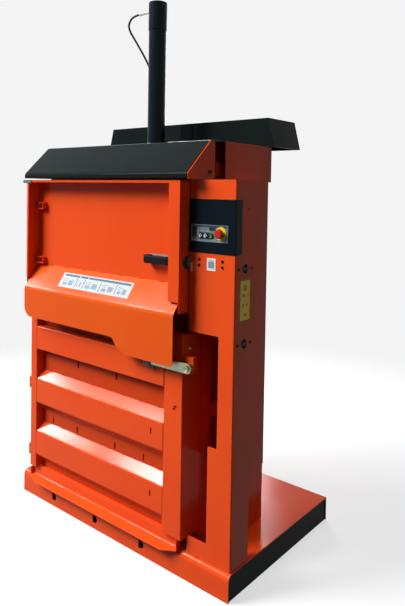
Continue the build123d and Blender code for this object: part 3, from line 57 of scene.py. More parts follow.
# The model's origin, measured in millimetres from the base's front left corner.
ORIGIN_X = 680.0
ORIGIN_Y = 400.0

# Ways that a face can look, and the cosine above which a face or an edge follows a way.
FRONT = Vector((0.0, -1.0, 0.0))
RIGHT = Vector((1.0, 0.0, 0.0))
CLOSE = 0.99

# Printing inks and films stand this far off the plate that carries them.
PRINT_LIFT = 0.2

# Walls of slits in a sheet are smaller than this, in square metres; the sheet's other walls are larger.
SLIT_WALL_AREA = 2e-4

# Mesh cleaning: points closer than this, in metres, are one; flatter edges, in degrees, go.
SAME_POINT = 1e-5
FLAT_ANGLE = 0.3

# Edges that turn by more than these degrees are rounded, and the others are shaded smooth.
EDGE_ANGLE = 30
SMOOTH_ANGLE = 40

# Round heads have more corners than this, and sheet faces have fewer.
HEAD_CORNERS = 10

# A weld's drops lie this many radii apart and are pressed flat along the seam.
DROP_PITCH = 1.1
DROP_SHAPE = (0.75, 1.0, 1.0)


class Along(Enum):
    """Direction of a round part's axis, as the turn that a primitive needs."""

    X = (0.0, math.pi / 2, 0.0)
    Y = (math.pi / 2, 0.0, 0.0)


class Body(str, Enum):
    """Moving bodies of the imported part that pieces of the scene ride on."""

    FRAME = "frame"
    LOWER_DOOR = "lower_door"
    UPPER_DOOR = "upper_door"
    LOCK_LEVER = "lock_lever"
    STOP_STEM = "stop_stem"
    STOP_HEAD = "stop_head"
    START = "start_button"
    UP = "up_button"
    DOWN = "down_button"


# Colours and shader nodes


def linear(colour: str) -> tuple[float, float, float, float]:
    """Turns an sRGB hex value to linear light.

    Args:
        colour: Six hex digits after a hash sign.

    Returns:
        Red, green, blue and an alpha of 1.
    """
    parts = [int(colour[n:n + 2], 16) / 255 for n in (1, 3, 5)]
    lit = [p / 12.92 if p <= 0.04045 else ((p + 0.055) / 1.055) ** 2.4 for p in parts]
    return lit[0], lit[1], lit[2], 1.0


def emptied(owner: bpy.types.ID) -> Tree:
    """Gives a material's or world's own node tree, empty."""
    owner.use_nodes = True
    owner.node_tree.nodes.clear()
    return owner.node_tree


def add_node(tree: Tree, kind: str, inputs: dict | None = None, **settings) -> Node:
    """Adds one shader node with its settings and links.

    Args:
        tree: Node tree that gets it.
        kind: The node's type name, without ShaderNode before it.
        inputs: Value or output socket for each input, by name or number.
        settings: The node's own settings.

    Returns:
        The new node.
    """
    made = tree.nodes.new("ShaderNode" + kind)
    for name, value in settings.items():
        setattr(made, name, value)
    for name, value in (inputs or {}).items():
        if isinstance(value, bpy.types.NodeSocket):
            tree.links.new(value, made.inputs[name])
        else:
            made.inputs[name].default_value = value
    return made


def mixed(tree: Tree, share: bpy.types.NodeSocket, first: Node, second: Node) -> Node:
    """Mixes two shaders: the first where the share is 0, the second where it is 1."""
    return add_node(tree, "MixShader", {0: share, 1: first.outputs[0], 2: second.outputs[0]})


@dataclass(frozen=True)
class Finish:
    """A surface: its two colours, its roughness and the record's material slot that it shows."""

    name: str
    colour: str
    second: str
    roughness: float
    slot: str

    def material(self) -> bpy.types.Material:
        """Gives the material, made at its first use."""
        made = bpy.data.materials.get(self.name)
        if not made:
            made = bpy.data.materials.new(self.name)
            tree = emptied(made)
            add_node(tree, "OutputMaterial", {"Surface": self.shade(tree).outputs[0]})
            made.diffuse_color = linear(self.colour)
        return made

    def shade(self, tree: Tree) -> Node:
        """Builds the surface shader in the material's empty tree and gives its node."""
        raise NotImplementedError

    def clouds(self, tree: Tree, size_mm: float, detail: float = 3.0,
               stretch: Triple = (1.0, 1.0, 1.0)) -> Node:
        """Adds a noise whose lumps have a real size on the object.

        Args:
            tree: The material's node tree.
            size_mm: Size of one lump.
            detail: Octaves of finer noise in it.
            stretch: Factor on each axis, below 1 for long lumps.

        Returns:
            The noise node.
        """
        place = add_node(tree, "TexCoord").outputs["Object"]
        scaled = add_node(tree, "Mapping", {"Vector": place, "Scale": stretch}).outputs[0]
        return add_node(tree, "TexNoise", {"Vector": scaled, "Scale": 1.0 / (size_mm * MM), "Detail": detail})

    def blend(self, tree: Tree, noise: Node, low: float, high: float) -> Node:
        """Mixes the finish's two colours by a noise.

        Args:
            tree: The material's node tree.
            noise: Noise that leads from one colour to the other.
            low: Noise level where the first colour ends.
            high: Noise level where the second colour is whole.

        Returns:
            The ramp's node, with the colour as its output.
        """
        ramp = add_node(tree, "ValToRGB", {"Fac": noise.outputs[0]})
        for stop, level, colour in zip(ramp.color_ramp.elements, (low, high), (self.colour, self.second)):
            stop.position = level
            stop.color = linear(colour)
        return ramp

    def bump(self, tree: Tree, noise: Node, height_mm: float, strength: float) -> Node:
        """Adds a relief that follows a noise, with this real height and this share of it showing."""
        return add_node(
            tree, "Bump", {"Height": noise.outputs[0], "Distance": height_mm * MM, "Strength": strength})

    def spread(self, tree: Tree, noise: Node, swing: float) -> Node:
        """Lets the roughness swing this far to both sides of its value by a noise."""
        return add_node(
            tree, "MapRange", {"Value": noise.outputs[0], "From Min": 0.3, "From Max": 0.7,
                               "To Min": self.roughness - swing, "To Max": self.roughness + swing})

    def skin(self, tree: Tree, tone: Node, dull: Node, relief: Node, more: dict) -> Node:
        """Joins colour, roughness, relief and what else is set to the surface shader."""
        return add_node(
            tree, "BsdfPrincipled", {"Base Color": tone.outputs[0], "Roughness": dull.outputs[0],
                                     "Normal": relief.outputs[0], **more})


@dataclass(frozen=True)
class PowderCoat(Finish):
    """Powder coat, sprayed as dust and baked: a smooth skin with a faint peel."""

    peel_mm: float = 14.0
    peel_height: float = 0.03
    level: float = 0.3

    def shade(self, tree: Tree) -> Node:
        """Builds the shader."""
        # Large faint clouds: the coat is a little thicker in places.
        tone = self.blend(tree, self.clouds(tree, 420.0, 2.0), 0.35, 0.75)
        # Real peel is 1 to 2 mm wide; it is drawn coarser, or no pixel would show it.
        relief = self.bump(tree, self.clouds(tree, self.peel_mm, 0.0), self.peel_height, 0.5)
        # Handling leaves patches that are duller than the rest.
        dull = self.spread(tree, self.clouds(tree, 160.0, 4.0), 0.04)
        return self.skin(tree, tone, dull, relief, {"IOR": 1.5, "Specular IOR Level": self.level})


@dataclass(frozen=True)
class SteelFinish(Finish):
    """Bare or plated steel, with the lines that rolling or grinding left."""

    line_mm: float = 1.5
    run: Triple = (0.08, 1.0, 1.0)
    line_height: float = 0.03

    def shade(self, tree: Tree) -> Node:
        """Builds the shader."""
        tone = self.blend(tree, self.clouds(tree, 24.0, 4.0), 0.35, 0.7)
        # Lines are drawn at the size given, coarser than the real ones, so that they show.
        lines = self.clouds(tree, self.line_mm, 2.0, self.run)
        relief = self.bump(tree, lines, self.line_height, 0.3)
        return self.skin(tree, tone, self.spread(tree, lines, 0.08), relief, {"Metallic": 1.0})


@dataclass(frozen=True)
class Moulding(Finish):
    """Moulded plastic or rubber, with the grain of its mould."""

    grain_mm: float = 1.2
    grain_height: float = 0.05
    level: float = 0.4
    ior: float = 1.5

    def shade(self, tree: Tree) -> Node:
        """Builds the shader."""
        tone = self.blend(tree, self.clouds(tree, 30.0, 3.0), 0.3, 0.75)
        relief = self.bump(tree, self.clouds(tree, self.grain_mm, 1.0), self.grain_height, 0.4)
        dull = self.spread(tree, self.clouds(tree, 12.0, 2.0), 0.05)
        return self.skin(tree, tone, dull, relief, {"IOR": self.ior, "Specular IOR Level": self.level})


@dataclass(frozen=True)
class Film(Moulding):
    """Printed film or vinyl and the inks on it: nearly smooth, with little gloss."""

    grain_height: float = 0.02
    level: float = 0.06


# Powder coat on steel sheet, semi-gloss: strong colour, soft wide lights.
ORANGE = PowderCoat("orange_powder_coat", "#E44E1A", "#E04817", 0.2, "orange_paint", level=0.08)
# The same coat on the apron, a little yellower: painted warm light on the apron.
ORANGE_WARM_LIGHT = PowderCoat("orange_coat_painted_warm_light", "#E05715", "#DC5115", 0.2, "orange_paint", level=0.08)
# The same coat in the bale door's recesses and on the welds there, darker: painted shade in the recesses.
ORANGE_RECESS_SHADE = PowderCoat("orange_coat_painted_recess_shade", "#C23F14", "#BC3A12", 0.3, "orange_paint", level=0.06)
# Dull dark brown on the column's inner sheet: painted shade for the deep cut-out, which also throws back
# little light.
INNER_PAINTED_SHADE = PowderCoat("inner_sheet_painted_shade", "#54201A", "#4B1C17", 0.55, "orange_paint", level=0.05)
# Powder coat in a very dark green blue, on the hood and rear cover: deep, with clear lights on the folds.
PETROL = PowderCoat("petrol_powder_coat", "#121B1A", "#101818", 0.22, "petrol_paint", level=0.04)
# The same coat on the cover's sunk centre band, darker: painted shade in the sunk band.
PETROL_BAND_SHADE = PowderCoat("petrol_coat_painted_band_shade", "#080D0D", "#070B0C", 0.3, "petrol_paint", level=0.03)
# Two-part enamel on the cylinder: dark blue green and rather glossy.
CYLINDER = PowderCoat("blue_green_enamel", "#0D1A22", "#0B161E", 0.3, "cylinder_paint", level=0.08)
# Black enamel on the base's sides: dull.
BASE_BLACK = PowderCoat("black_base_enamel", "#101415", "#16191A", 0.45, "base_black", level=0.03)
# Powder coat on the control panel: blue black and matt.
PANEL_BLACK = PowderCoat("panel_black_coat", "#050F18", "#040D16", 0.42, "panel_black", level=0.06)
# Glass-filled nylon, moulded: matt black with a fine grain.
NYLON_BLACK = Moulding("black_nylon", "#0D0F13", "#0A0C10", 0.5, "bezel_black", level=0.08)
# The same nylon on the handle.
HANDLE_BLACK = replace(NYLON_BLACK, slot="handle_black")
# Zinc plate with a pale yellow passivation: soft metal light, a little green.
ZINC = SteelFinish("passivated_zinc_plate", "#9B9E86", "#8F927A", 0.42, "zinc_steel")
# Turned and polished steel: bright, with fine turned lines.
BRIGHT = SteelFinish("bright_turned_steel", "#C6C8CA", "#B2B4B6", 0.25, "bright_steel", run=(1.0, 1.0, 0.1))
# Oiled black steel: dark metal, slightly blue.
DARK_STEEL = SteelFinish("oil_blackened_steel", "#3A3A38", "#2C2D2D", 0.4, "dark_steel")
# Black oxide on the small screws: nearly black, with a little oil.
BLACK_OXIDE = SteelFinish("black_oxide_steel", "#171514", "#11100F", 0.45, "dark_steel")
# Grey-brown plastic of the blanking plugs.
PLUG_GREY = Moulding("grey_brown_plug", "#2C2826", "#262220", 0.5, "bezel_black", level=0.1)
# Ground hard chrome on the rod: mirror with fine rings.
CHROME = SteelFinish(
    "ground_hard_chrome", "#D5D8DB", "#C9CCD0", 0.12, "hard_chrome", run=(1.0, 1.0, 0.1), line_height=0.01)
# Back-printed polyester film on the operator label: matt grey.
FILM_GREY = Film("grey_polyester_film", "#66777A", "#617275", 0.4, "keypad_grey", level=0.4)
# The same film's darker printing.
FILM_DARK = Film("dark_printed_film", "#273840", "#223139", 0.4, "keypad_grey", level=0.4)
# The same film's pale printing.
FILM_PALE = Film("pale_printed_film", "#9FB0B2", "#94A5A8", 0.4, "keypad_grey", level=0.4)
# Tinted acrylic over the display: satin and nearly black.
ACRYLIC = Moulding(
    "tinted_acrylic", "#0C242E", "#0E2832", 0.3, "window_dark", grain_height=0.0, level=0.25, ior=1.49)
# Red polyamide of the stop head: satin, saturated.
STOP_RED = Moulding("red_polyamide", "#B50D17", "#A80A14", 0.35, "stop_red")
# Yellow polycarbonate ring: satin, saturated.
STOP_YELLOW = Moulding("yellow_polycarbonate", "#E2D21C", "#D9C818", 0.35, "stop_yellow", level=0.2)
# Green polycarbonate button cap.
GREEN = Moulding("green_polycarbonate", "#1C8C3E", "#178036", 0.3, "button_green")
# White polycarbonate button cap.
WHITE_CAP = Moulding("white_polycarbonate", "#D9DCDA", "#CFD2D0", 0.3, "button_white")
# Extruded rubber of the hose's cover: matt, slightly wrapped.
RUBBER = Moulding(
    "black_nitrile_rubber", "#17191B", "#1E2022", 0.55, "hose_rubber", grain_mm=2.0, grain_height=0.15)
# White vinyl of the small label, newer than the instruction plate's.
VINYL_NEW = Film("new_white_vinyl", "#E6E4DF", "#DFDDD8", 0.4, "plate_white")
# Teal-grey ink on that label.
INK_TEAL = Film("teal_grey_ink", "#7F9698", "#768D90", 0.45, "plate_white")
# White vinyl of the instruction plate: clean and slightly glossy.
VINYL_WHITE = Film("white_vinyl_label", "#BCC6C8", "#B2BDC1", 0.4, "plate_white")
# Blue-grey ink on that plate.
INK_BLUE = Film("blue_grey_ink", "#5F7186", "#576980", 0.45, "plate_white")
# Pale blue-grey ink on that plate.
INK_PALE = Film("pale_grey_ink", "#8C9BA6", "#8190A0", 0.45, "plate_white")
# Yellow vinyl of the side label.
VINYL_YELLOW = Film("yellow_vinyl_label", "#FFD63C", "#FACC34", 0.4, "plate_yellow", level=0.3)
# Olive ink on the yellow label.
INK_DARK = Film("olive_label_ink", "#C9AC2A", "#BDA024", 0.45, "plate_yellow", level=0.1)
# Brown rim round the side label's edge.
LABEL_EDGE = Film("brown_label_rim", "#B8822E", "#AA7628", 0.55, "plate_yellow", level=0.05)
# Foamed rubber gasket under the handle: pale grey and matt.
GASKET = Moulding(
    "grey_foam_rubber", "#8D8A84", "#817E79", 0.6, "latch_grey", grain_mm=1.6, grain_height=0.1)
# Hot-dip galvanised sheet, weathered: mid grey and dull.
GALVANISED = SteelFinish("galvanised_sheet", "#73776F", "#666A63", 0.55, "zinc_steel")
# Zinc die casting of the latch disc: dull brown grey.
DIE_CAST = SteelFinish("zinc_die_casting", "#5A4C44", "#4E423B", 0.5, "latch_grey")

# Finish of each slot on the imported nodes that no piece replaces.
SLOT_FINISH = {finish.slot: finish for finish in (
    ORANGE, PETROL, CYLINDER, BASE_BLACK, PANEL_BLACK, HANDLE_BLACK, ZINC, BRIGHT, DARK_STEEL, CHROME,
    FILM_GREY, ACRYLIC, STOP_RED, STOP_YELLOW, GREEN, WHITE_CAP, NYLON_BLACK, RUBBER, VINYL_WHITE,
    VINYL_YELLOW, DIE_CAST,
)}


# Modelling helpers


def at(x: float, y: float, z: float) -> Vector:
    """Place in metres from millimetres measured at the base's front left corner."""
    return Vector(((x - ORIGIN_X) * MM, (y - ORIGIN_Y) * MM, z * MM))


def activate(obj: Piece) -> None:
    """Selects one object alone and makes it active."""
    bpy.ops.object.select_all(action="DESELECT")
    obj.select_set(True)
    bpy.context.view_layer.objects.active = obj


def settle(obj: Piece) -> None:
    """Moves an object's place, turn and scale into its mesh."""
    activate(obj)
    bpy.ops.object.transform_apply(location=True, rotation=True, scale=True)


def placed(name: str, data: bpy.types.ID) -> Piece:
    """Makes an object of this data and puts it in the scene."""
    made = bpy.data.objects.new(name, data)
    bpy.context.scene.collection.objects.link(made)
    return made


def started(name: str, primitive: Callable, **settings) -> Piece:
    """Starts a piece from one of Blender's primitives.

    Args:
        name: The piece's name.
        primitive: Blender's function that adds it.
        settings: What the function is told.

    Returns:
        The piece.
    """
    bpy.ops.object.select_all(action="DESELECT")
    primitive(**settings)
    made = bpy.context.object
    made.name = name
    return made


def block(name: str, low: Vector, high: Vector) -> Piece:
    """Starts a piece from a box.

    Args:
        name: The piece's name.
        low: Lowest corner in metres.
        high: Highest corner in metres.

    Returns:
        The box, with its place in its mesh.
    """
    made = started(name, bpy.ops.mesh.primitive_cube_add, size=1.0, location=(low + high) / 2)
    bpy.ops.transform.resize(value=high - low)
    settle(made)
    return made


def disc(name: str, centre: Vector, along: Along, radius: float, depth: float, sides: int = 32) -> Piece:
    """Starts a piece from a round bar.

    Args:
        name: The piece's name.
        centre: Middle of the bar in metres.
        along: Direction of its axis.
        radius: Radius in millimetres.
        depth: Length in millimetres.
        sides: Number of sides.

    Returns:
        The bar, with its place in its mesh.
    """
    made = started(name, bpy.ops.mesh.primitive_cylinder_add, vertices=sides, radius=radius * MM,
                   depth=depth * MM, location=centre, rotation=along.value)
    settle(made)
    return made


def open_mesh(obj: Piece) -> None:
    """Opens an object in edit mode with nothing selected."""
    activate(obj)
    bpy.ops.object.mode_set(mode="EDIT")
    bpy.ops.mesh.select_all(action="DESELECT")


def close_mesh() -> None:
    """Leaves edit mode."""
    bpy.ops.object.mode_set(mode="OBJECT")


def pick_faces(obj: Piece, test: FaceTest) -> None:
    """Selects, in edit mode, the faces that pass a test."""
    bpy.ops.mesh.select_mode(type="FACE")
    mesh = bmesh.from_edit_mesh(obj.data)
    for face in mesh.faces:
        face.select = test(face)
    mesh.select_flush_mode()
    bmesh.update_edit_mesh(obj.data)


def pick_edges(obj: Piece, test: EdgeTest) -> int:
    """Selects, in edit mode, the edges whose middle and direction pass a test.

    Args:
        obj: Object in edit mode.
        test: Takes an edge's middle in metres and its unit direction.

    Returns:
        Number of edges selected.
    """
    bpy.ops.mesh.select_mode(type="EDGE")
    mesh = bmesh.from_edit_mesh(obj.data)
    count = 0
    for edge in mesh.edges:
        first, last = edge.verts[0].co, edge.verts[1].co
        edge.select = test((first + last) / 2, (last - first).normalized())
        count += edge.select
    mesh.select_flush_mode()
    bmesh.update_edit_mesh(obj.data)
    return count


def heads(*ways: Vector) -> FaceTest:
    """Picks the round faces, as of screw heads, that look one of these ways."""
    return lambda face: len(face.verts) > HEAD_CORNERS and any(face.normal.dot(way) > CLOSE for way in ways)


def line_x(y: float, z: float, reach: float = 5.0) -> EdgeTest:
    """Picks edges along X near a depth and height in millimetres."""
    return lambda middle, way: abs(way.x) > CLOSE and math.hypot(
        middle.y / MM + ORIGIN_Y - y, middle.z / MM - z) < reach


def line_z(x: float, y: float, reach: float = 5.0) -> EdgeTest:
    """Picks upright edges near a place in millimetres."""
    return lambda middle, way: abs(way.z) > CLOSE and math.hypot(
        middle.x / MM + ORIGIN_X - x, middle.y / MM + ORIGIN_Y - y) < reach


def soften(obj: Piece, width: float, steps: int = 2) -> Piece:
    """Rounds all sharp edges a little, smooths what is round and keeps large faces flat.

    Args:
        obj: Piece to finish.
        width: Width of the rounding in millimetres.
        steps: Faces across it.

    Returns:
        The piece.
    """
    activate(obj)
    rounding = obj.modifiers.new("edge_rounding", "BEVEL")
    rounding.width = width * MM
    rounding.segments = steps
    rounding.limit_method = "ANGLE"
    rounding.angle_limit = math.radians(EDGE_ANGLE)
    bpy.ops.object.modifier_apply(modifier=rounding.name)
    bpy.ops.object.shade_smooth_by_angle(angle=math.radians(SMOOTH_ANGLE))
    # Normals of the rounded edges turn to the large faces beside them.
    facing = obj.modifiers.new("face_normals", "WEIGHTED_NORMAL")
    facing.mode = "FACE_AREA"
    facing.weight = 50
    facing.keep_sharp = True
    bpy.ops.object.modifier_apply(modifier=facing.name)
    return obj


@dataclass(frozen=True)
class Fold:
    """Edges of a sheet that are bent, not sharp."""

    radius: float
    test: EdgeTest
    steps: int = 4


def formed(node: str, name: str, folds: Iterable[Fold] = (), edge: float = 0.6) -> Piece:
    """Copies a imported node's mesh and gives it bends and softened edges.

    Args:
        node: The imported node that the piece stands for.
        name: The piece's name.
        folds: Bent edges and their radii.
        edge: Rounding of the remaining edges in millimetres, or 0 for none yet.

    Returns:
        The piece, which replaces the node.
    """
    made = placed(name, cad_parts[node].data.copy())
    made.data.materials.clear()
    activate(made)
    bpy.ops.mesh.customdata_custom_splitnormals_clear()
    open_mesh(made)
    bpy.ops.mesh.select_all(action="SELECT")
    bpy.ops.mesh.remove_doubles(threshold=SAME_POINT)
    bpy.ops.mesh.dissolve_limited(angle_limit=math.radians(FLAT_ANGLE))
    for fold in folds:
        if pick_edges(made, fold.test):
            bpy.ops.mesh.bevel(offset=fold.radius * MM, offset_type="OFFSET", segments=fold.steps,
                               affect="EDGES", clamp_overlap=True)
        else:
            LOG.warning("%s: a fold found no edge", name)
    close_mesh()
    if edge:
        soften(made, edge)
    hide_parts(node)
    return made


def dress(obj: Piece, finish: Finish, body: Body = Body.FRAME) -> Piece:
    """Gives a piece its finish and its body, and reports it.

    Args:
        obj: The finished piece.
        finish: Its surface.
        body: The body that it moves with.

    Returns:
        The piece.
    """
    obj.data.materials.clear()
    obj.data.materials.append(finish.material())
    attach(obj, body.value)
    LOG.info("%s: %d faces", obj.name, len(getattr(obj.data, "polygons", ())))
    return obj


def refined(node: str, name: str, finish: Finish = ORANGE, body: Body = Body.FRAME,
            folds: Iterable[Fold] = (), edge: float = 0.8) -> Piece:
    """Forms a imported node's piece, as formed() does, and dresses it."""
    return dress(formed(node, name, folds, edge), finish, body)


def recess(obj: Piece, test: FaceTest, rim: float, depth: float) -> None:
    """Sinks faces into a piece, as the socket or dish of a head.

    Args:
        obj: The piece.
        test: Picks the faces that are sunk, each by itself.
        rim: Width of the rim left round it in millimetres.
        depth: Depth in millimetres.
    """
    open_mesh(obj)
    pick_faces(obj, test)
    bpy.ops.mesh.inset(thickness=rim * MM, use_individual=True)
    bpy.ops.mesh.inset(thickness=0.02 * MM, depth=-depth * MM, use_individual=True)
    close_mesh()


def push_faces(obj: Piece, test: FaceTest, move: Triple) -> None:
    """Moves the faces of a piece that pass a test by millimetres along X, Y and Z."""
    open_mesh(obj)
    pick_faces(obj, test)
    bpy.ops.transform.translate(value=[way * MM for way in move])
    close_mesh()


def widen(obj: Piece, push: float) -> None:
    """Opens a sheet's small slits further across.

    Args:
        obj: The sheet.
        push: Distance that each wall of a slit goes back along X in millimetres.
    """
    for side in (1.0, -1.0):
        push_faces(obj, lambda face: face.normal.x * side > 0.1 and face.calc_area() < SLIT_WALL_AREA,
                   (-side * push, 0.0, 0.0))


def joined(name: str, parts: list[Piece]) -> Piece:
    """Joins several parts, each with its place in its mesh, to one piece of this name."""
    activate(parts[0])
    for part in parts:
        part.select_set(True)
    bpy.ops.object.join()
    parts[0].name = name
    return parts[0]


def copies(source: Piece, moves: Iterable[Vector]) -> list[Piece]:
    """Copies a part to other places, each copy with its own mesh.

    Args:
        source: The modelled part.
        moves: Shift of each copy from it in metres.

    Returns:
        The source and its copies.
    """
    made = [source]
    for move in moves:
        again = placed(source.name, source.data.copy())
        again.data.transform(Matrix.Translation(move))
        made.append(again)
    return made


@dataclass(frozen=True)
class Patch:
    """A flat plate that carries prints: its corner and its own two directions."""

    corner: Triple
    across: Triple = (1.0, 0.0, 0.0)
    upward: Triple = (0.0, 0.0, 1.0)

    def spot(self, right: float, up: float, out: float) -> Vector:
        """Place in metres of a point this many millimetres right of, above and in front of the corner."""
        across, upward = Vector(self.across), Vector(self.upward)
        return at(*(Vector(self.corner) + across * right + upward * up + across.cross(upward) * out))

    def prints(self, name: str, marks: Iterable[Bar], corner: float = 0.8, lift: float = PRINT_LIFT) -> Piece:
        """Prints rounded bars on the plate.

        Args:
            name: The piece's name.
            marks: Sides of each bar in millimetres from the plate's corner.
            corner: Rounding of the bars' corners.
            lift: Height of the print's face off the plate.

        Returns:
            The bars as one piece.
        """
        bars = []
        for left, low, right, high in marks:
            bar = started("bar", bpy.ops.mesh.primitive_plane_add, size=1.0)
            places = [(left, low), (right, low), (right, high), (left, high)]
            for index, place in zip(bar.data.polygons[0].vertices, places):
                bar.data.vertices[index].co = self.spot(*place, lift)
            open_mesh(bar)
            bpy.ops.mesh.select_all(action="SELECT")
            size = min(corner, (right - left) / 3, (high - low) / 3)
            bpy.ops.mesh.bevel(offset=size * MM, segments=2, affect="VERTICES")
            close_mesh()
            bars.append(bar)
        return joined(name, bars)


def bead_row(name: str, start: Vector, end: Vector, radius: float, stitch: float, pitch: float) -> Piece:
    """Lays short weld stitches along a seam.

    Args:
        name: The piece's name.
        start: First end of the seam in metres.
        end: Other end of the seam.
        radius: Radius of the bead in millimetres.
        stitch: Length of one stitch in millimetres.
        pitch: Distance between stitches in millimetres.

    Returns:
        The row of stitches as one piece.
    """
    run = end - start
    along = run.normalized()
    drop = started("drop", bpy.ops.mesh.primitive_uv_sphere_add, segments=8, ring_count=5,
                   radius=radius * MM, location=start)
    drop.rotation_mode = "QUATERNION"
    drop.rotation_quaternion = run.to_track_quat("X", "Z")
    bpy.ops.transform.resize(value=DROP_SHAPE, orient_type="LOCAL")
    settle(drop)
    step = radius * DROP_PITCH
    drops = max(2, round(stitch / step))
    lead = (drops - 1) * step * MM / 2
    stitches = max(1, int(run.length / MM / pitch))
    gap = run.length / stitches
    moves = [along * (gap * (number + 0.5) - lead + ripple * step * MM)
             for number in range(stitches) for ripple in range(drops)]
    row = copies(drop, moves[1:])
    drop.data.transform(Matrix.Translation(moves[0]))
    made = joined(name, row)
    activate(made)
    bpy.ops.object.shade_smooth()
    return made


# Sub-assemblies


def dress_nodes() -> None:
    """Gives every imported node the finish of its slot."""
    for name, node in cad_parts.items():
        if not node.data.materials:
            LOG.warning("%s has no material", name)
            continue
        for number, old in enumerate(node.data.materials):
            slot = old.name.split(".")[0] if old else ""
            node.data.materials[number] = SLOT_FINISH.get(slot, ORANGE).material()


@dataclass
class Base:
    """Base frame: folded deck with its nose, end skirts and the column's foot welds."""

    foot_weld: tuple[Triple, Triple] = ((1124.0, 15.0, 110.0), (1236.0, 15.0, 110.0))
    # Radius, stitch and pitch of the weld.
    bead: Triple = (2.6, 24.0, 56.0)

    def build(self) -> None:
        """Builds the base's pieces."""
        refined("base_deck", "base_deck_folded", edge=1.0)
        skirts = refined("base_underside", "base_skirts", BASE_BLACK, edge=1.0)
        # Rounding pushes a few corners below the floor; they go back onto it.
        for corner in skirts.data.vertices:
            corner.co.z = max(corner.co.z, 0.0)
        start, end = self.foot_weld
        dress(bead_row("column_foot_weld", at(*start), at(*end), *self.bead), ORANGE)


@dataclass
class Column:
    """Right column: folded shell, screws, blanking plugs, two labels and the cable gland."""

    left: float = 1122.0
    right: float = 1355.0
    front: float = 16.0
    back: float = 236.0
    fold: float = 5.0
    gland: Triple = (1338.0, 236.0, 731.0)
    # Distance behind the column, radius, length and sides of the gland's body, nut and sleeve.
    gland_rings: tuple[tuple[float, float, float, int], ...] = (
        (4.5, 10.0, 11.0, 32), (3.0, 12.5, 6.0, 6), (12.0, 7.0, 8.0, 32))
    # Depth of both plugs, then the upper one's height and the lower one's.
    plug_places: Triple = (82.0, 1300.0, 1003.0)
    plug_radius: float = 19.0
    plug_length: float = 2.2
    dimple_rise: float = 11.0
    dimple_radius: float = 8.0
    white_corner: Triple = (1214.0, 15.4, 1287.0)
    white_marks: tuple[Bar, ...] = (
        (7.0, 10.0, 37.0, 36.0), (7.0, 38.0, 37.0, 40.0), (10.0, 42.0, 34.0, 44.0))
    side_corner: Triple = (1355.6, 46.0, 1090.0)
    side_size: Pair = (75.0, 169.0)
    side_marks: tuple[Bar, ...] = (
        (28.0, 22.0, 50.0, 34.0), (20.0, 60.0, 32.0, 74.0), (44.0, 62.0, 56.0, 72.0),
        (16.0, 100.0, 38.0, 112.0), (52.0, 98.0, 60.0, 110.0), (26.0, 124.0, 48.0, 146.0))
    label_rim: float = 5.0
    label_inset: float = 0.5

    def shell(self) -> None:
        """Folds the shell and its inner sheet."""
        corners = [(self.left, self.front), (self.right, self.front), (self.right, self.back)]
        folds = [Fold(self.fold, line_z(*corner)) for corner in corners]
        refined("column_shell", "column_shell_folded", folds=folds)
        # The inner sheet's dark brown is painted shade for the deep cut-out.
        refined("column_inner", "column_inner_sheet", INNER_PAINTED_SHADE)

    def screws(self) -> None:
        """Gives the pan-head screws their drive sockets."""
        made = formed("column_screws", "pan_head_screws", (), 0.9)
        recess(made, heads(FRONT, RIGHT), 2.6, 1.2)
        dress(made, BLACK_OXIDE)

    def plugs(self) -> None:
        """Closes the two side holes with round blanking plugs, each with two sunk dimples."""
        y, first, last = self.plug_places
        plug = disc("plug", at(self.right + 0.9, y, first), Along.X, self.plug_radius, self.plug_length)
        soften(plug, 0.9)
        dimples = []
        for rise in (-self.dimple_rise, self.dimple_rise):
            place = at(self.right + 2.1, y, first + rise)
            dimple = disc("dimple", place, Along.X, self.dimple_radius, 0.6, 24)
            recess(dimple, heads(RIGHT), 1.5, 0.4)
            dimples.append(dimple)
        drop = [Vector((0.0, 0.0, (last - first) * MM))]
        dress(joined("blanking_plugs", copies(plug, drop)), PLUG_GREY)
        pits = [pit for dimple in dimples for pit in copies(dimple, drop)]
        dress(joined("plug_dimples", pits), BLACK_OXIDE)

    def labels(self) -> None:
        """Prints plain bars on the white and the yellow label."""
        refined("info_plate", "small_white_label", VINYL_NEW, edge=0.2)
        dress(Patch(self.white_corner).prints("white_label_print", self.white_marks), INK_TEAL)
        refined("side_plate", "side_label", VINYL_YELLOW, edge=0.2)
        yellow = Patch(self.side_corner, (0.0, 1.0, 0.0))
        dress(yellow.prints("side_label_print", self.side_marks, 4.0), INK_DARK)
        wide, high = self.side_size
        rim, inset = self.label_rim, self.label_inset
        edges = [(inset, inset, rim, high - inset), (wide - rim, inset, wide - inset, high - inset),
                 (rim, inset, wide - rim, rim + 2), (rim, high - rim, wide - rim, high - inset)]
        dress(yellow.prints("side_label_edge", edges, 0.3), LABEL_EDGE)

    def cable_gland(self) -> None:
        """Screws a cable gland into the column's back."""
        x, y, z = self.gland
        rings = [soften(disc("gland_ring", at(x, y + behind, z), Along.Y, radius, length, sides), 0.8)
                 for behind, radius, length, sides in self.gland_rings]
        dress(joined("cable_gland", rings), NYLON_BLACK)

    def build(self) -> None:
        """Builds the column's pieces."""
        self.shell()
        self.screws()
        self.plugs()
        self.labels()
        self.cable_gland()


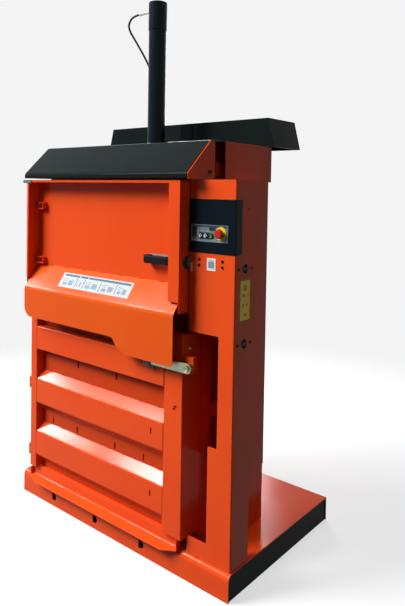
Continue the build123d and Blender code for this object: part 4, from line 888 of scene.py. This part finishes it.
@dataclass
class ControlPanel:
    """Control panel on the column: wrapped cover, operator label, buttons and emergency stop."""

    corner: Pair = (1357.0, 14.0)
    label_low: Triple = (1130.0, 13.2, 1401.0)
    label_size: Pair = (189.0, 69.0)
    symbol_height: float = 1426.0
    symbol_face: float = 7.0
    symbol_radius: float = 6.8
    symbol_depth: float = 0.8
    symbol_bar: Bar = (-1.6, -3.4, 1.6, 3.4)
    up_middle: float = 1190.0
    down_middle: float = 1216.0

    def cover(self) -> None:
        """Folds the cover round the column's corner."""
        folds = [Fold(4.0, line_z(*self.corner))]
        refined("control_panel", "control_cover", PANEL_BLACK, folds=folds, edge=0.6)
        refined("keypad_plate", "operator_label", FILM_GREY, edge=0.25)
        refined("display_panes", "display_windows", ACRYLIC, edge=0.2)

    def prints(self) -> None:
        """Prints the operator label: dark fields, pale frames and plain bars."""
        face = Patch(self.label_low)
        wide, high = self.label_size
        dark = [(2.5, high - 11.0, wide - 2.5, high - 2.5), (46.0, 10.0, 68.0, 38.0),
                (72.0, 10.0, 99.0, 38.0)]
        dress(face.prints("label_dark_fields", dark, 1.6), FILM_DARK)
        pale = [(30.0, 46.0 - 5.0 * n, 42.0, 48.0 - 5.0 * n) for n in range(5)]
        pale += [(48.0, 42.0, 66.0, 44.5), (74.0, 42.0, 97.0, 44.5), (104.0, 8.0, 127.0, 10.5)]
        pale += [(5.0, 4.0, 60.0, 6.0), (138.0, 4.0, 180.0, 6.0)]
        dress(face.prints("label_pale_bars", pale, 0.5), FILM_PALE)

    def stop(self) -> None:
        """Shapes the emergency stop: ring, stem and mushroom head."""
        refined("stop_ring", "stop_collar", STOP_YELLOW, edge=1.0)
        refined("stop_stem", "stop_shaft", NYLON_BLACK, Body.STOP_STEM)
        refined("stop_head", "stop_mushroom", STOP_RED, Body.STOP_HEAD, edge=4.8)

    def buttons(self) -> None:
        """Shapes the button caps with a shallow dish and their bezels."""
        for name, finish, body in (("start_cap", GREEN, Body.START), ("up_cap", WHITE_CAP, Body.UP),
                                   ("down_cap", WHITE_CAP, Body.DOWN)):
            cap = formed(body.value, name, (), 0.8)
            recess(cap, heads(FRONT), 1.2, 0.5)
            dress(cap, finish, body)
        refined("button_bezels", "button_rings", NYLON_BLACK, edge=0.6)

    def symbols(self) -> None:
        """Lays a black insert with a white bar on the up and the down button."""
        buttons = (("up", self.up_middle, Body.UP), ("down", self.down_middle, Body.DOWN))
        for name, middle, body in buttons:
            place = at(middle, self.symbol_face + self.symbol_depth / 2, self.symbol_height)
            insert = disc(f"{name}_insert", place, Along.Y, self.symbol_radius, self.symbol_depth)
            dress(insert, NYLON_BLACK, body)
            face = Patch((middle, self.symbol_face, self.symbol_height))
            dress(face.prints(f"{name}_symbol", [self.symbol_bar], 0.4), WHITE_CAP, body)

    def build(self) -> None:
        """Builds the panel's pieces."""
        self.cover()
        self.prints()
        self.stop()
        self.buttons()
        self.symbols()


@dataclass
class UpperDoor:
    """Upper door: pan with flanges, sloped apron, lugs, handle, latch and instruction plate."""

    left: float = 66.0
    right: float = 1117.0
    front: float = -43.0
    flange_left: float = 81.0
    flange_right: float = 1056.0
    top: float = 1646.0
    panel: float = 20.0
    slope_top: float = 1215.0
    apron_fold: Pair = (-60.0, 1100.0)
    # Radius, stitch and pitch of the apron's weld, and its distance from the door's edges.
    bead: Triple = (3.2, 26.0, 128.0)
    weld_ends: Pair = (60.0, 30.0)
    # Faces of a lug that are larger than this, in square metres, get a socket.
    lug_area: float = 4e-4
    handle: Bar = (889.0, 1291.0, 1034.0, 1327.0)
    gasket_rim: float = 3.0
    gasket_depth: float = 1.6
    plate_foot: Triple = (325.0, -40.45, 1129.15)
    plate_up: Triple = (0.0, 0.571, 0.821)
    headers: tuple[Bar, ...] = (
        (14.0, 60.0, 128.0, 71.0), (134.0, 60.0, 186.0, 71.0), (192.0, 60.0, 478.0, 71.0))
    dividers: tuple[float, ...] = (114.0, 172.0, 286.0, 394.0)
    # Left and right side of each pictogram field.
    fields: tuple[Pair, ...] = (
        (18.0, 104.0), (124.0, 164.0), (186.0, 278.0), (300.0, 386.0), (408.0, 474.0))

    def pan(self) -> None:
        """Folds the pan's flanges and the apron."""
        body = Body.UPPER_DOOR
        edges = (self.left, self.flange_left, self.flange_right, self.right)
        folds = [Fold(4.0, line_z(edge, self.front)) for edge in edges]
        folds.append(Fold(4.0, line_x(self.front, self.top)))
        refined("upper_door_pan", "door_pan", ORANGE, body, folds)
        bend = Fold(12.0, line_x(*self.apron_fold), 6)
        # The apron's yellower coat is painted warm light.
        refined("upper_door_apron", "door_apron", ORANGE_WARM_LIGHT, body, [bend])
        before, after = self.weld_ends
        ends = [at(x, self.panel - 0.5, self.slope_top + 1)
                for x in (self.left + before, self.flange_right - after)]
        dress(bead_row("apron_weld", *ends, *self.bead), ORANGE, body)
        lugs = formed("upper_hinge_leaves", "door_lugs", (), 1.2)
        recess(lugs, lambda face: face.normal.y < -CLOSE and face.calc_area() > self.lug_area, 3.0, 22.0)
        dress(lugs, ORANGE, body)
        refined("door_top_plate", "top_plate", GALVANISED, body, edge=1.0)

    def grip(self) -> None:
        """Rounds the handle and lays its grey gasket under it."""
        refined("door_handle", "handle_grip", HANDLE_BLACK, Body.UPPER_DOOR, edge=3.0)
        left, low, right, high = self.handle
        rim, back = self.gasket_rim, self.panel
        seat = block("handle_gasket", at(left - rim, back - self.gasket_depth, low - rim),
                     at(right + rim, back, high + rim))
        dress(soften(seat, 0.7, 3), GASKET, Body.UPPER_DOOR)

    def latch(self) -> None:
        """Rounds the latch disc and sinks its socket."""
        made = formed("latch_disc", "latch_rose", (), 0.8)
        recess(made, heads(RIGHT), 9.0, 0.8)
        dress(made, DIE_CAST, Body.UPPER_DOOR)

    def plate(self) -> None:
        """Prints the instruction plate: header, dividers and plain pictogram blocks."""
        refined("instruction_plate", "instruction_label", VINYL_WHITE, Body.UPPER_DOOR, edge=0.2)
        face = Patch(self.plate_foot, upward=self.plate_up)
        ink = [*self.headers, *((x, 7.0, x + 4.5, 56.0) for x in self.dividers)]
        dress(face.prints("plate_dark_print", ink), INK_BLUE, Body.UPPER_DOOR)
        soft = []
        for left, right in self.fields:
            middle = (left + right) / 2
            soft += [(left, 42.0, middle - 4, 46.0), (left, 34.0, middle - 10, 37.0),
                     (middle, 14.0, right - 8, 40.0), (left + 4, 12.0, middle - 8, 28.0)]
        dress(face.prints("plate_pale_print", soft, 2.0), INK_PALE, Body.UPPER_DOOR)

    def build(self) -> None:
        """Builds the upper door's pieces."""
        self.pan()
        self.grip()
        self.latch()
        self.plate()


@dataclass
class LowerDoor:
    """Lower door: folded stiles, rail, pressed ribs, bent lip, hinges and the locking lever."""

    front: float = -10.0
    skin: float = 30.0
    pane: Pair = (118.0, 1011.0)
    stile_edges: tuple[float, ...] = (66.0, 118.0, 1011.0, 1119.0)
    rail_edges: Pair = (777.0, 896.0)
    rib_edges: tuple[float, ...] = (231.0, 349.0, 503.0, 621.0)
    rib_tops: Pair = (393.0, 665.0)
    # Depth, height and reach of the lip's bend.
    lip_fold: Triple = (12.0, 113.0, 7.0)
    # Radius, stitch and pitch of the ribs' welds.
    bead: Triple = (3.0, 20.0, 104.0)
    mount_rise: float = 9.0

    def frame(self) -> None:
        """Folds the stiles, the rail, the ribs and the lip."""
        body = Body.LOWER_DOOR
        stiles = [Fold(5.0, line_z(x, self.front)) for x in self.stile_edges]
        ribs = [Fold(6.0, line_x(self.front, z)) for z in self.rib_edges]
        # The skin takes the darker coat: painted shade in its recesses.
        slotted = (("lower_door_stiles", "door_stiles", stiles, 3.5, ORANGE),
                   ("lower_door_ribs", "door_ribs", ribs, 1.5, ORANGE),
                   ("lower_door_skin", "door_skin", (), 2.0, ORANGE_RECESS_SHADE))
        for node, name, folds, push, finish in slotted:
            sheet = formed(node, name, folds, 0.0)
            widen(sheet, push)
            dress(soften(sheet, 0.6), finish, body)
        rail = [Fold(5.0, line_x(self.front, z)) for z in self.rail_edges]
        refined("lower_door_rail", "door_rail", ORANGE, body, rail)
        refined("lower_door_lip", "door_lip", ORANGE, body, [Fold(8.0, line_x(*self.lip_fold))])

    def welds(self) -> None:
        """Lays the weld stitches behind the ribs."""
        for number, top in enumerate(self.rib_tops, 1):
            ends = [at(x, self.skin, top + 1) for x in self.pane]
            # The stitches take the darker coat too: painted shade in the recesses.
            dress(bead_row(f"rib_weld_{number}", *ends, *self.bead), ORANGE_RECESS_SHADE, Body.LOWER_DOOR)

    def fittings(self) -> None:
        """Rounds the hinges, the block, the keeper, the bolts and the lever."""
        body = Body.LOWER_DOOR
        refined("lower_hinge_leaves", "hinge_leaves", ORANGE, body)
        refined("hinge_arms", "hinge_brackets")
        refined("hinge_pins", "hinge_bolts", ZINC, edge=1.0)
        mount = formed("lever_block", "lever_mount", (), 0.0)
        push_faces(mount, lambda face: face.normal.z > CLOSE, (0.0, 0.0, self.mount_rise))
        dress(soften(mount, 2.0), ORANGE, body)
        refined("lever_keeper", "lever_hook", DARK_STEEL, body, edge=1.2)
        bolts = formed("lever_bolts", "pivot_bolts", (), 1.2)
        recess(bolts, heads(FRONT, RIGHT), 5.5, 5.0)
        dress(bolts, ZINC, body)
        refined("lock_lever", "locking_lever", ZINC, Body.LOCK_LEVER, edge=1.6)

    def build(self) -> None:
        """Builds the lower door's pieces."""
        self.frame()
        self.welds()
        self.fittings()


@dataclass
class Hood:
    """Folded hood over the doors, and the sheets under its sides."""

    lip: Pair = (-51.0, 1676.0)
    foot: Pair = (-51.0, 1654.0)
    crest: Pair = (94.0, 1817.0)

    def build(self) -> None:
        """Folds the hood and rounds the side sheets."""
        folds = [Fold(9.0, line_x(*self.lip), 5), Fold(3.0, line_x(*self.foot)),
                 Fold(9.0, line_x(*self.crest), 5)]
        refined("hood", "hood_folded", PETROL, folds=folds)
        refined("hood_gusset", "hood_side_sheets", edge=2.4)


@dataclass
class Cylinder:
    """Press cylinder: barrel, caps, hose fitting and grommet, and the crimps of the hose's ferrule."""

    y: float = 359.0
    port_z: float = 2514.0
    ferrule: Pair = (468.0, 506.0)
    crimps: int = 5
    crimp_radius: float = 9.6
    crimp_length: float = 5.4

    def build(self) -> None:
        """Rounds the barrel and ends and crimps the hose's ferrule."""
        refined("cylinder_barrel", "cylinder_tube", CYLINDER, edge=1.5)
        refined("cylinder_ends", "cylinder_caps", CYLINDER, edge=2.5)
        refined("hose_fitting", "port_fitting", BRIGHT)
        refined("hose_grommet", "grommet", RUBBER, edge=1.5)
        start, end = self.ferrule
        rings = []
        for number in range(self.crimps):
            place = at(start + (end - start) * number / (self.crimps - 1), self.y, self.port_z)
            ring = disc("crimp", place, Along.X, self.crimp_radius, self.crimp_length)
            rings.append(soften(ring, 1.6, 3))
        dress(joined("ferrule_crimps", rings), BRIGHT)


@dataclass
class RearUnit:
    """Rear cover, motor housing with its bolted lid and louvres, and the electrical cabinet."""

    lid: Bar = (142.0, 1352.0, 963.0, 1795.0)
    lid_face: float = 780.0
    screw_inset: float = 16.0
    louvre_heights: tuple[float, ...] = (1420.0, 1450.0, 1480.0, 1510.0, 1540.0, 1570.0)
    louvre_columns: Pair = (0.0, 430.0)
    # Both sides of a louvre from the lid's left side, its two depths from the lid's face, and its height.
    louvre_reach: Pair = (90.0, 300.0)
    louvre_depths: Pair = (2.0, 11.0)
    louvre_height: float = 16.0
    louvre_slope: float = 8.0
    cabinet_face: float = 1220.0
    cabinet_door: Bar = (252.0, 150.0, 424.0, 1600.0)
    # Place of the lower lock from the door's corner, and the upper lock's distance from it.
    lock_place: Pair = (24.0, 320.0)
    lock_rise: float = 800.0

    def louvres(self) -> None:
        """Presses two columns of louvres, deepest at the foot, into the lid."""
        left, face, foot = self.lid[0], self.lid_face, self.louvre_heights[0]
        near, far = (left + x for x in self.louvre_reach)
        shallow, deep = (face + y for y in self.louvre_depths)
        first = block("louvre", at(near, shallow, foot), at(far, deep, foot + self.louvre_height))
        centre = at(0, (shallow + deep) / 2, foot + self.louvre_height / 2)
        open_mesh(first)
        # The upper edge of the outer face moves in.
        pick_edges(first, lambda middle, way: abs(way.x) > CLOSE and middle.y > centre.y
                   and middle.z > centre.z)
        bpy.ops.transform.translate(value=(0.0, -self.louvre_slope * MM, 0.0))
        close_mesh()
        soften(first, 1.5, 3)
        moves = [Vector((column * MM, 0.0, (z - foot) * MM))
                 for column in self.louvre_columns for z in self.louvre_heights]
        dress(joined("housing_louvres", copies(first, moves[1:])), ORANGE)

    def housing(self) -> None:
        """Closes the housing with a lid, louvres and dome-head screws."""
        refined("rear_cover", "rear_cover_folded", PETROL, edge=1.2)
        # The band's darker coat is painted shade.
        refined("cover_band", "cover_centre_band", PETROL_BAND_SHADE, edge=0.6)
        refined("rear_housing", "motor_housing", edge=1.2)
        left, low, right, high = self.lid
        face, inset = self.lid_face, self.screw_inset
        sheet = block("housing_lid", at(left, face - 1, low), at(right, face + 3, high))
        dress(soften(sheet, 1.4, 3), ORANGE)
        self.louvres()
        places = [at(x, face + 4.5, z) for x in (left + inset, (left + right) / 2, right - inset)
                  for z in (low + inset, (low + high) / 2, high - inset)]
        # No screw stands in the middle of the lid.
        del places[4]
        head = soften(disc("lid_screws", places[0], Along.Y, 6.5, 5.0, 20), 2.0, 3)
        screws = copies(head, [place - places[0] for place in places[1:]])
        dress(joined("lid_screws", screws), ZINC)

    def cabinet(self) -> None:
        """Hangs the cabinet's door with its two turn locks."""
        refined("rear_cabinet", "electric_cabinet", edge=1.2)
        left, low, right, high = self.cabinet_door
        face = self.cabinet_face
        door = block("cabinet_door", at(face - 1, left, low), at(face + 3, right, high))
        dress(soften(door, 1.4, 3), ORANGE)
        across, up = self.lock_place
        rose = soften(disc("turn_lock", at(face + 5, left + across, low + up), Along.X, 13.0, 6.0), 1.2)
        recess(rose, heads(RIGHT), 6.0, 1.5)
        locks = copies(rose, [Vector((0.0, 0.0, self.lock_rise * MM))])
        dress(joined("turn_locks", locks), NYLON_BLACK)

    def build(self) -> None:
        """Builds the rear pieces."""
        self.housing()
        self.cabinet()


@dataclass
class Hose:
    """High-pressure hose from the cylinder's top port to the rear cover."""

    diameter: float = 11.0
    # Length in metres.
    length: float = 0.729
    route: tuple[Triple, ...] = (
        (462.0, 359.0, 2514.0), (422.0, 359.0, 2514.0), (383.2, 362.0, 2496.0), (354.0, 379.0, 2462.0),
        (354.0, 441.0, 2402.0), (354.0, 544.0, 2292.0), (354.0, 614.0, 2154.0), (354.0, 620.0, 2044.0),
        (354.0, 620.0, 1942.0),
    )

    def build(self) -> None:
        curve = bpy.data.curves.new("pressure_hose", "CURVE")
        curve.dimensions = "3D"
        curve.bevel_depth = self.diameter * MM / 2
        curve.bevel_resolution = 6
        curve.resolution_u = 24
        spline = curve.splines.new("NURBS")
        spline.points.add(len(self.route) - 1)
        for point, place in zip(spline.points, self.route):
            point.co = (*at(*place), 1.0)
        spline.order_u = 3
        spline.use_endpoint_u = True
        hose = placed("pressure_hose", curve)
        dress(hose, RUBBER)
        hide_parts("hose")


# Studio


@dataclass(frozen=True)
class Lamp:
    """One soft lamp: place, aim and face size in metres, and power in watts.

    A lamp with a beam, in degrees, is narrow: it shows only in glossy surfaces and lights nothing else.
    Glossy surfaces mirror no lamp whose in_gloss is False.
    """

    name: str
    place: Triple
    aim: Triple
    size: Pair
    power: float
    beam: float = 0.0
    in_gloss: bool = True

    def hang(self) -> None:
        """Hangs the lamp in the scene."""
        data = bpy.data.lights.new(self.name, "AREA")
        data.shape = "RECTANGLE"
        data.size, data.size_y = self.size
        data.energy = self.power
        lamp = placed(self.name, data)
        lamp.location = self.place
        lamp.visible_camera = False
        lamp.visible_glossy = self.in_gloss
        if self.beam:
            data.spread = math.radians(self.beam)
            lamp.visible_diffuse = False
        lamp.rotation_euler = (Vector(self.aim) - Vector(self.place)).to_track_quat("-Z", "Y").to_euler()


@dataclass
class Studio:
    """Pale floor, soft lamps and the camera."""

    floor_radius: float = 9.0
    floor_sides: int = 96
    floor_glow: float = 0.6
    # Distances in metres between which the floor fades into the room.
    floor_fade: Pair = (1.4, 3.6)
    pale: str = "#F4F4F4"
    room_light: float = 0.07
    # The key, the sky, the fills and the narrow strips that the ribs mirror.
    lamps: tuple[Lamp, ...] = (
        Lamp("key", (-7.2, -8.2, 9.9), (0.0, -0.2, 1.0), (4.2, 4.2), 960.0),
        Lamp("sky", (-8.6, -7.8, 10.8), (0.0, -0.2, 1.0), (9.0, 9.0), 3500.0, in_gloss=False),
        Lamp("right_fill", (4.8, -1.6, 2.4), (0.5, -0.2, 0.9), (2.0, 2.0), 8.0, in_gloss=False),
        Lamp("left_strip", (-3.3, -1.78, 2.28), (-0.45, -0.4, 0.45), (0.7, 0.7), 4.9, 30.0),
        Lamp("right_strip", (-2.12, -2.36, 2.8), (0.3, -0.4, 0.47), (0.6, 0.6), 5.0, 28.0),
        Lamp("top", (0.2, 1.9, 6.5), (0.3, 0.2, 0.0), (2.4, 1.8), 130.0),
        Lamp("back", (-3.5, 4.5, 3.0), (0.0, 0.2, 1.0), (2.0, 2.0), 180.0),
    )
    lens: float = 35.373
    sensor: float = 36.0
    sight: float = 60.0
    camera_place: Triple = (2.02752, -2.23083, 1.60164)
    forward: Triple = (-0.63397, 0.77288, -0.02705)
    upward: Triple = (-0.03013, 0.01026, 0.99949)
    shift: Pair = (-0.00206, -0.15724)

    def seen(self, tree: Tree) -> bpy.types.NodeSocket:
        """Tells the rays that see the pale room from those that only carry light.

        Args:
            tree: Node tree that gets the nodes.

        Returns:
            A socket that is 1 for camera, glossy and transmission rays and 0 for others.
        """
        ray = add_node(tree, "LightPath")
        either = add_node(tree, "Math", {0: ray.outputs["Is Camera Ray"], 1: ray.outputs["Is Glossy Ray"]},
                          operation="MAXIMUM")
        either = add_node(tree, "Math", {0: either.outputs[0], 1: ray.outputs["Is Transmission Ray"]},
                          operation="MAXIMUM")
        return either.outputs[0]

    def world(self) -> None:
        """Makes a dim world that the camera, gloss and glass see as a pale room."""
        world = bpy.data.worlds.new("studio_world")
        bpy.context.scene.world = world
        tree = emptied(world)
        dim = add_node(tree, "Background", {"Color": linear("#E9ECF2"), "Strength": self.room_light})
        pale = add_node(tree, "Background", {"Color": linear(self.pale), "Strength": 1.0})
        both = mixed(tree, self.seen(tree), dim, pale)
        add_node(tree, "OutputWorld", {"Surface": both.outputs[0]})

    def floor(self) -> None:
        """Lays a round pale floor that fades into the room at its rim."""
        floor = started("studio_floor", bpy.ops.mesh.primitive_circle_add, vertices=self.floor_sides,
                        radius=self.floor_radius, fill_type="NGON")
        material = bpy.data.materials.new("pale_studio_floor")
        tree = emptied(material)
        place = add_node(tree, "TexCoord")
        far = add_node(tree, "VectorMath", {0: place.outputs["Object"]}, operation="LENGTH")
        start, end = self.floor_fade
        fade = add_node(tree, "MapRange", {"Value": far.outputs["Value"], "From Min": start, "From Max": end},
                        interpolation_type="SMOOTHSTEP")
        # The floor looks pale, but throws back only the little light that a dark one does.
        seen = self.seen(tree)
        tone = add_node(tree, "Mix", {0: seen, 6: linear("#404040"), 7: linear(self.pale)}, data_type="RGBA")
        matt = add_node(tree, "BsdfDiffuse", {"Color": tone.outputs[2]})
        share = add_node(tree, "Math", {0: seen, 1: self.floor_glow}, operation="MULTIPLY")
        white = add_node(tree, "Emission", {"Color": linear("#FFFFFF"), "Strength": 1.0})
        pale = mixed(tree, share.outputs[0], matt, white)
        clear = add_node(tree, "BsdfTransparent")
        whole = mixed(tree, fade.outputs[0], pale, clear)
        add_node(tree, "OutputMaterial", {"Surface": whole.outputs[0]})
        floor.data.materials.append(material)

    def camera(self) -> None:
        """Sets the camera at the photograph's place and angle."""
        data = bpy.data.cameras.new("camera")
        data.lens = self.lens
        data.sensor_width = self.sensor
        data.shift_x, data.shift_y = self.shift
        data.clip_end = self.sight
        camera = placed("camera", data)
        back = -Vector(self.forward)
        up = Vector(self.upward)
        across = up.cross(back)
        turn = Matrix((across, up, back)).transposed()
        camera.matrix_world = Matrix.Translation(self.camera_place) @ turn.to_4x4()
        bpy.context.scene.camera = camera

    def build(self) -> None:
        """Builds the whole studio."""
        self.world()
        self.floor()
        for lamp in self.lamps:
            lamp.hang()
        self.camera()
        bpy.context.scene.view_settings.view_transform = "Standard"


def main() -> None:
    """Builds the baler's looks, sub-assembly by sub-assembly."""
    logging.basicConfig(level=logging.INFO, format="%(name)s: %(message)s")
    dress_nodes()
    Studio().build()
    Hose().build()
    for part in (Base(), Column(), ControlPanel(), UpperDoor(), LowerDoor(), Hood(), Cylinder(), RearUnit()):
        part.build()


if __name__ == "__main__":
    main()
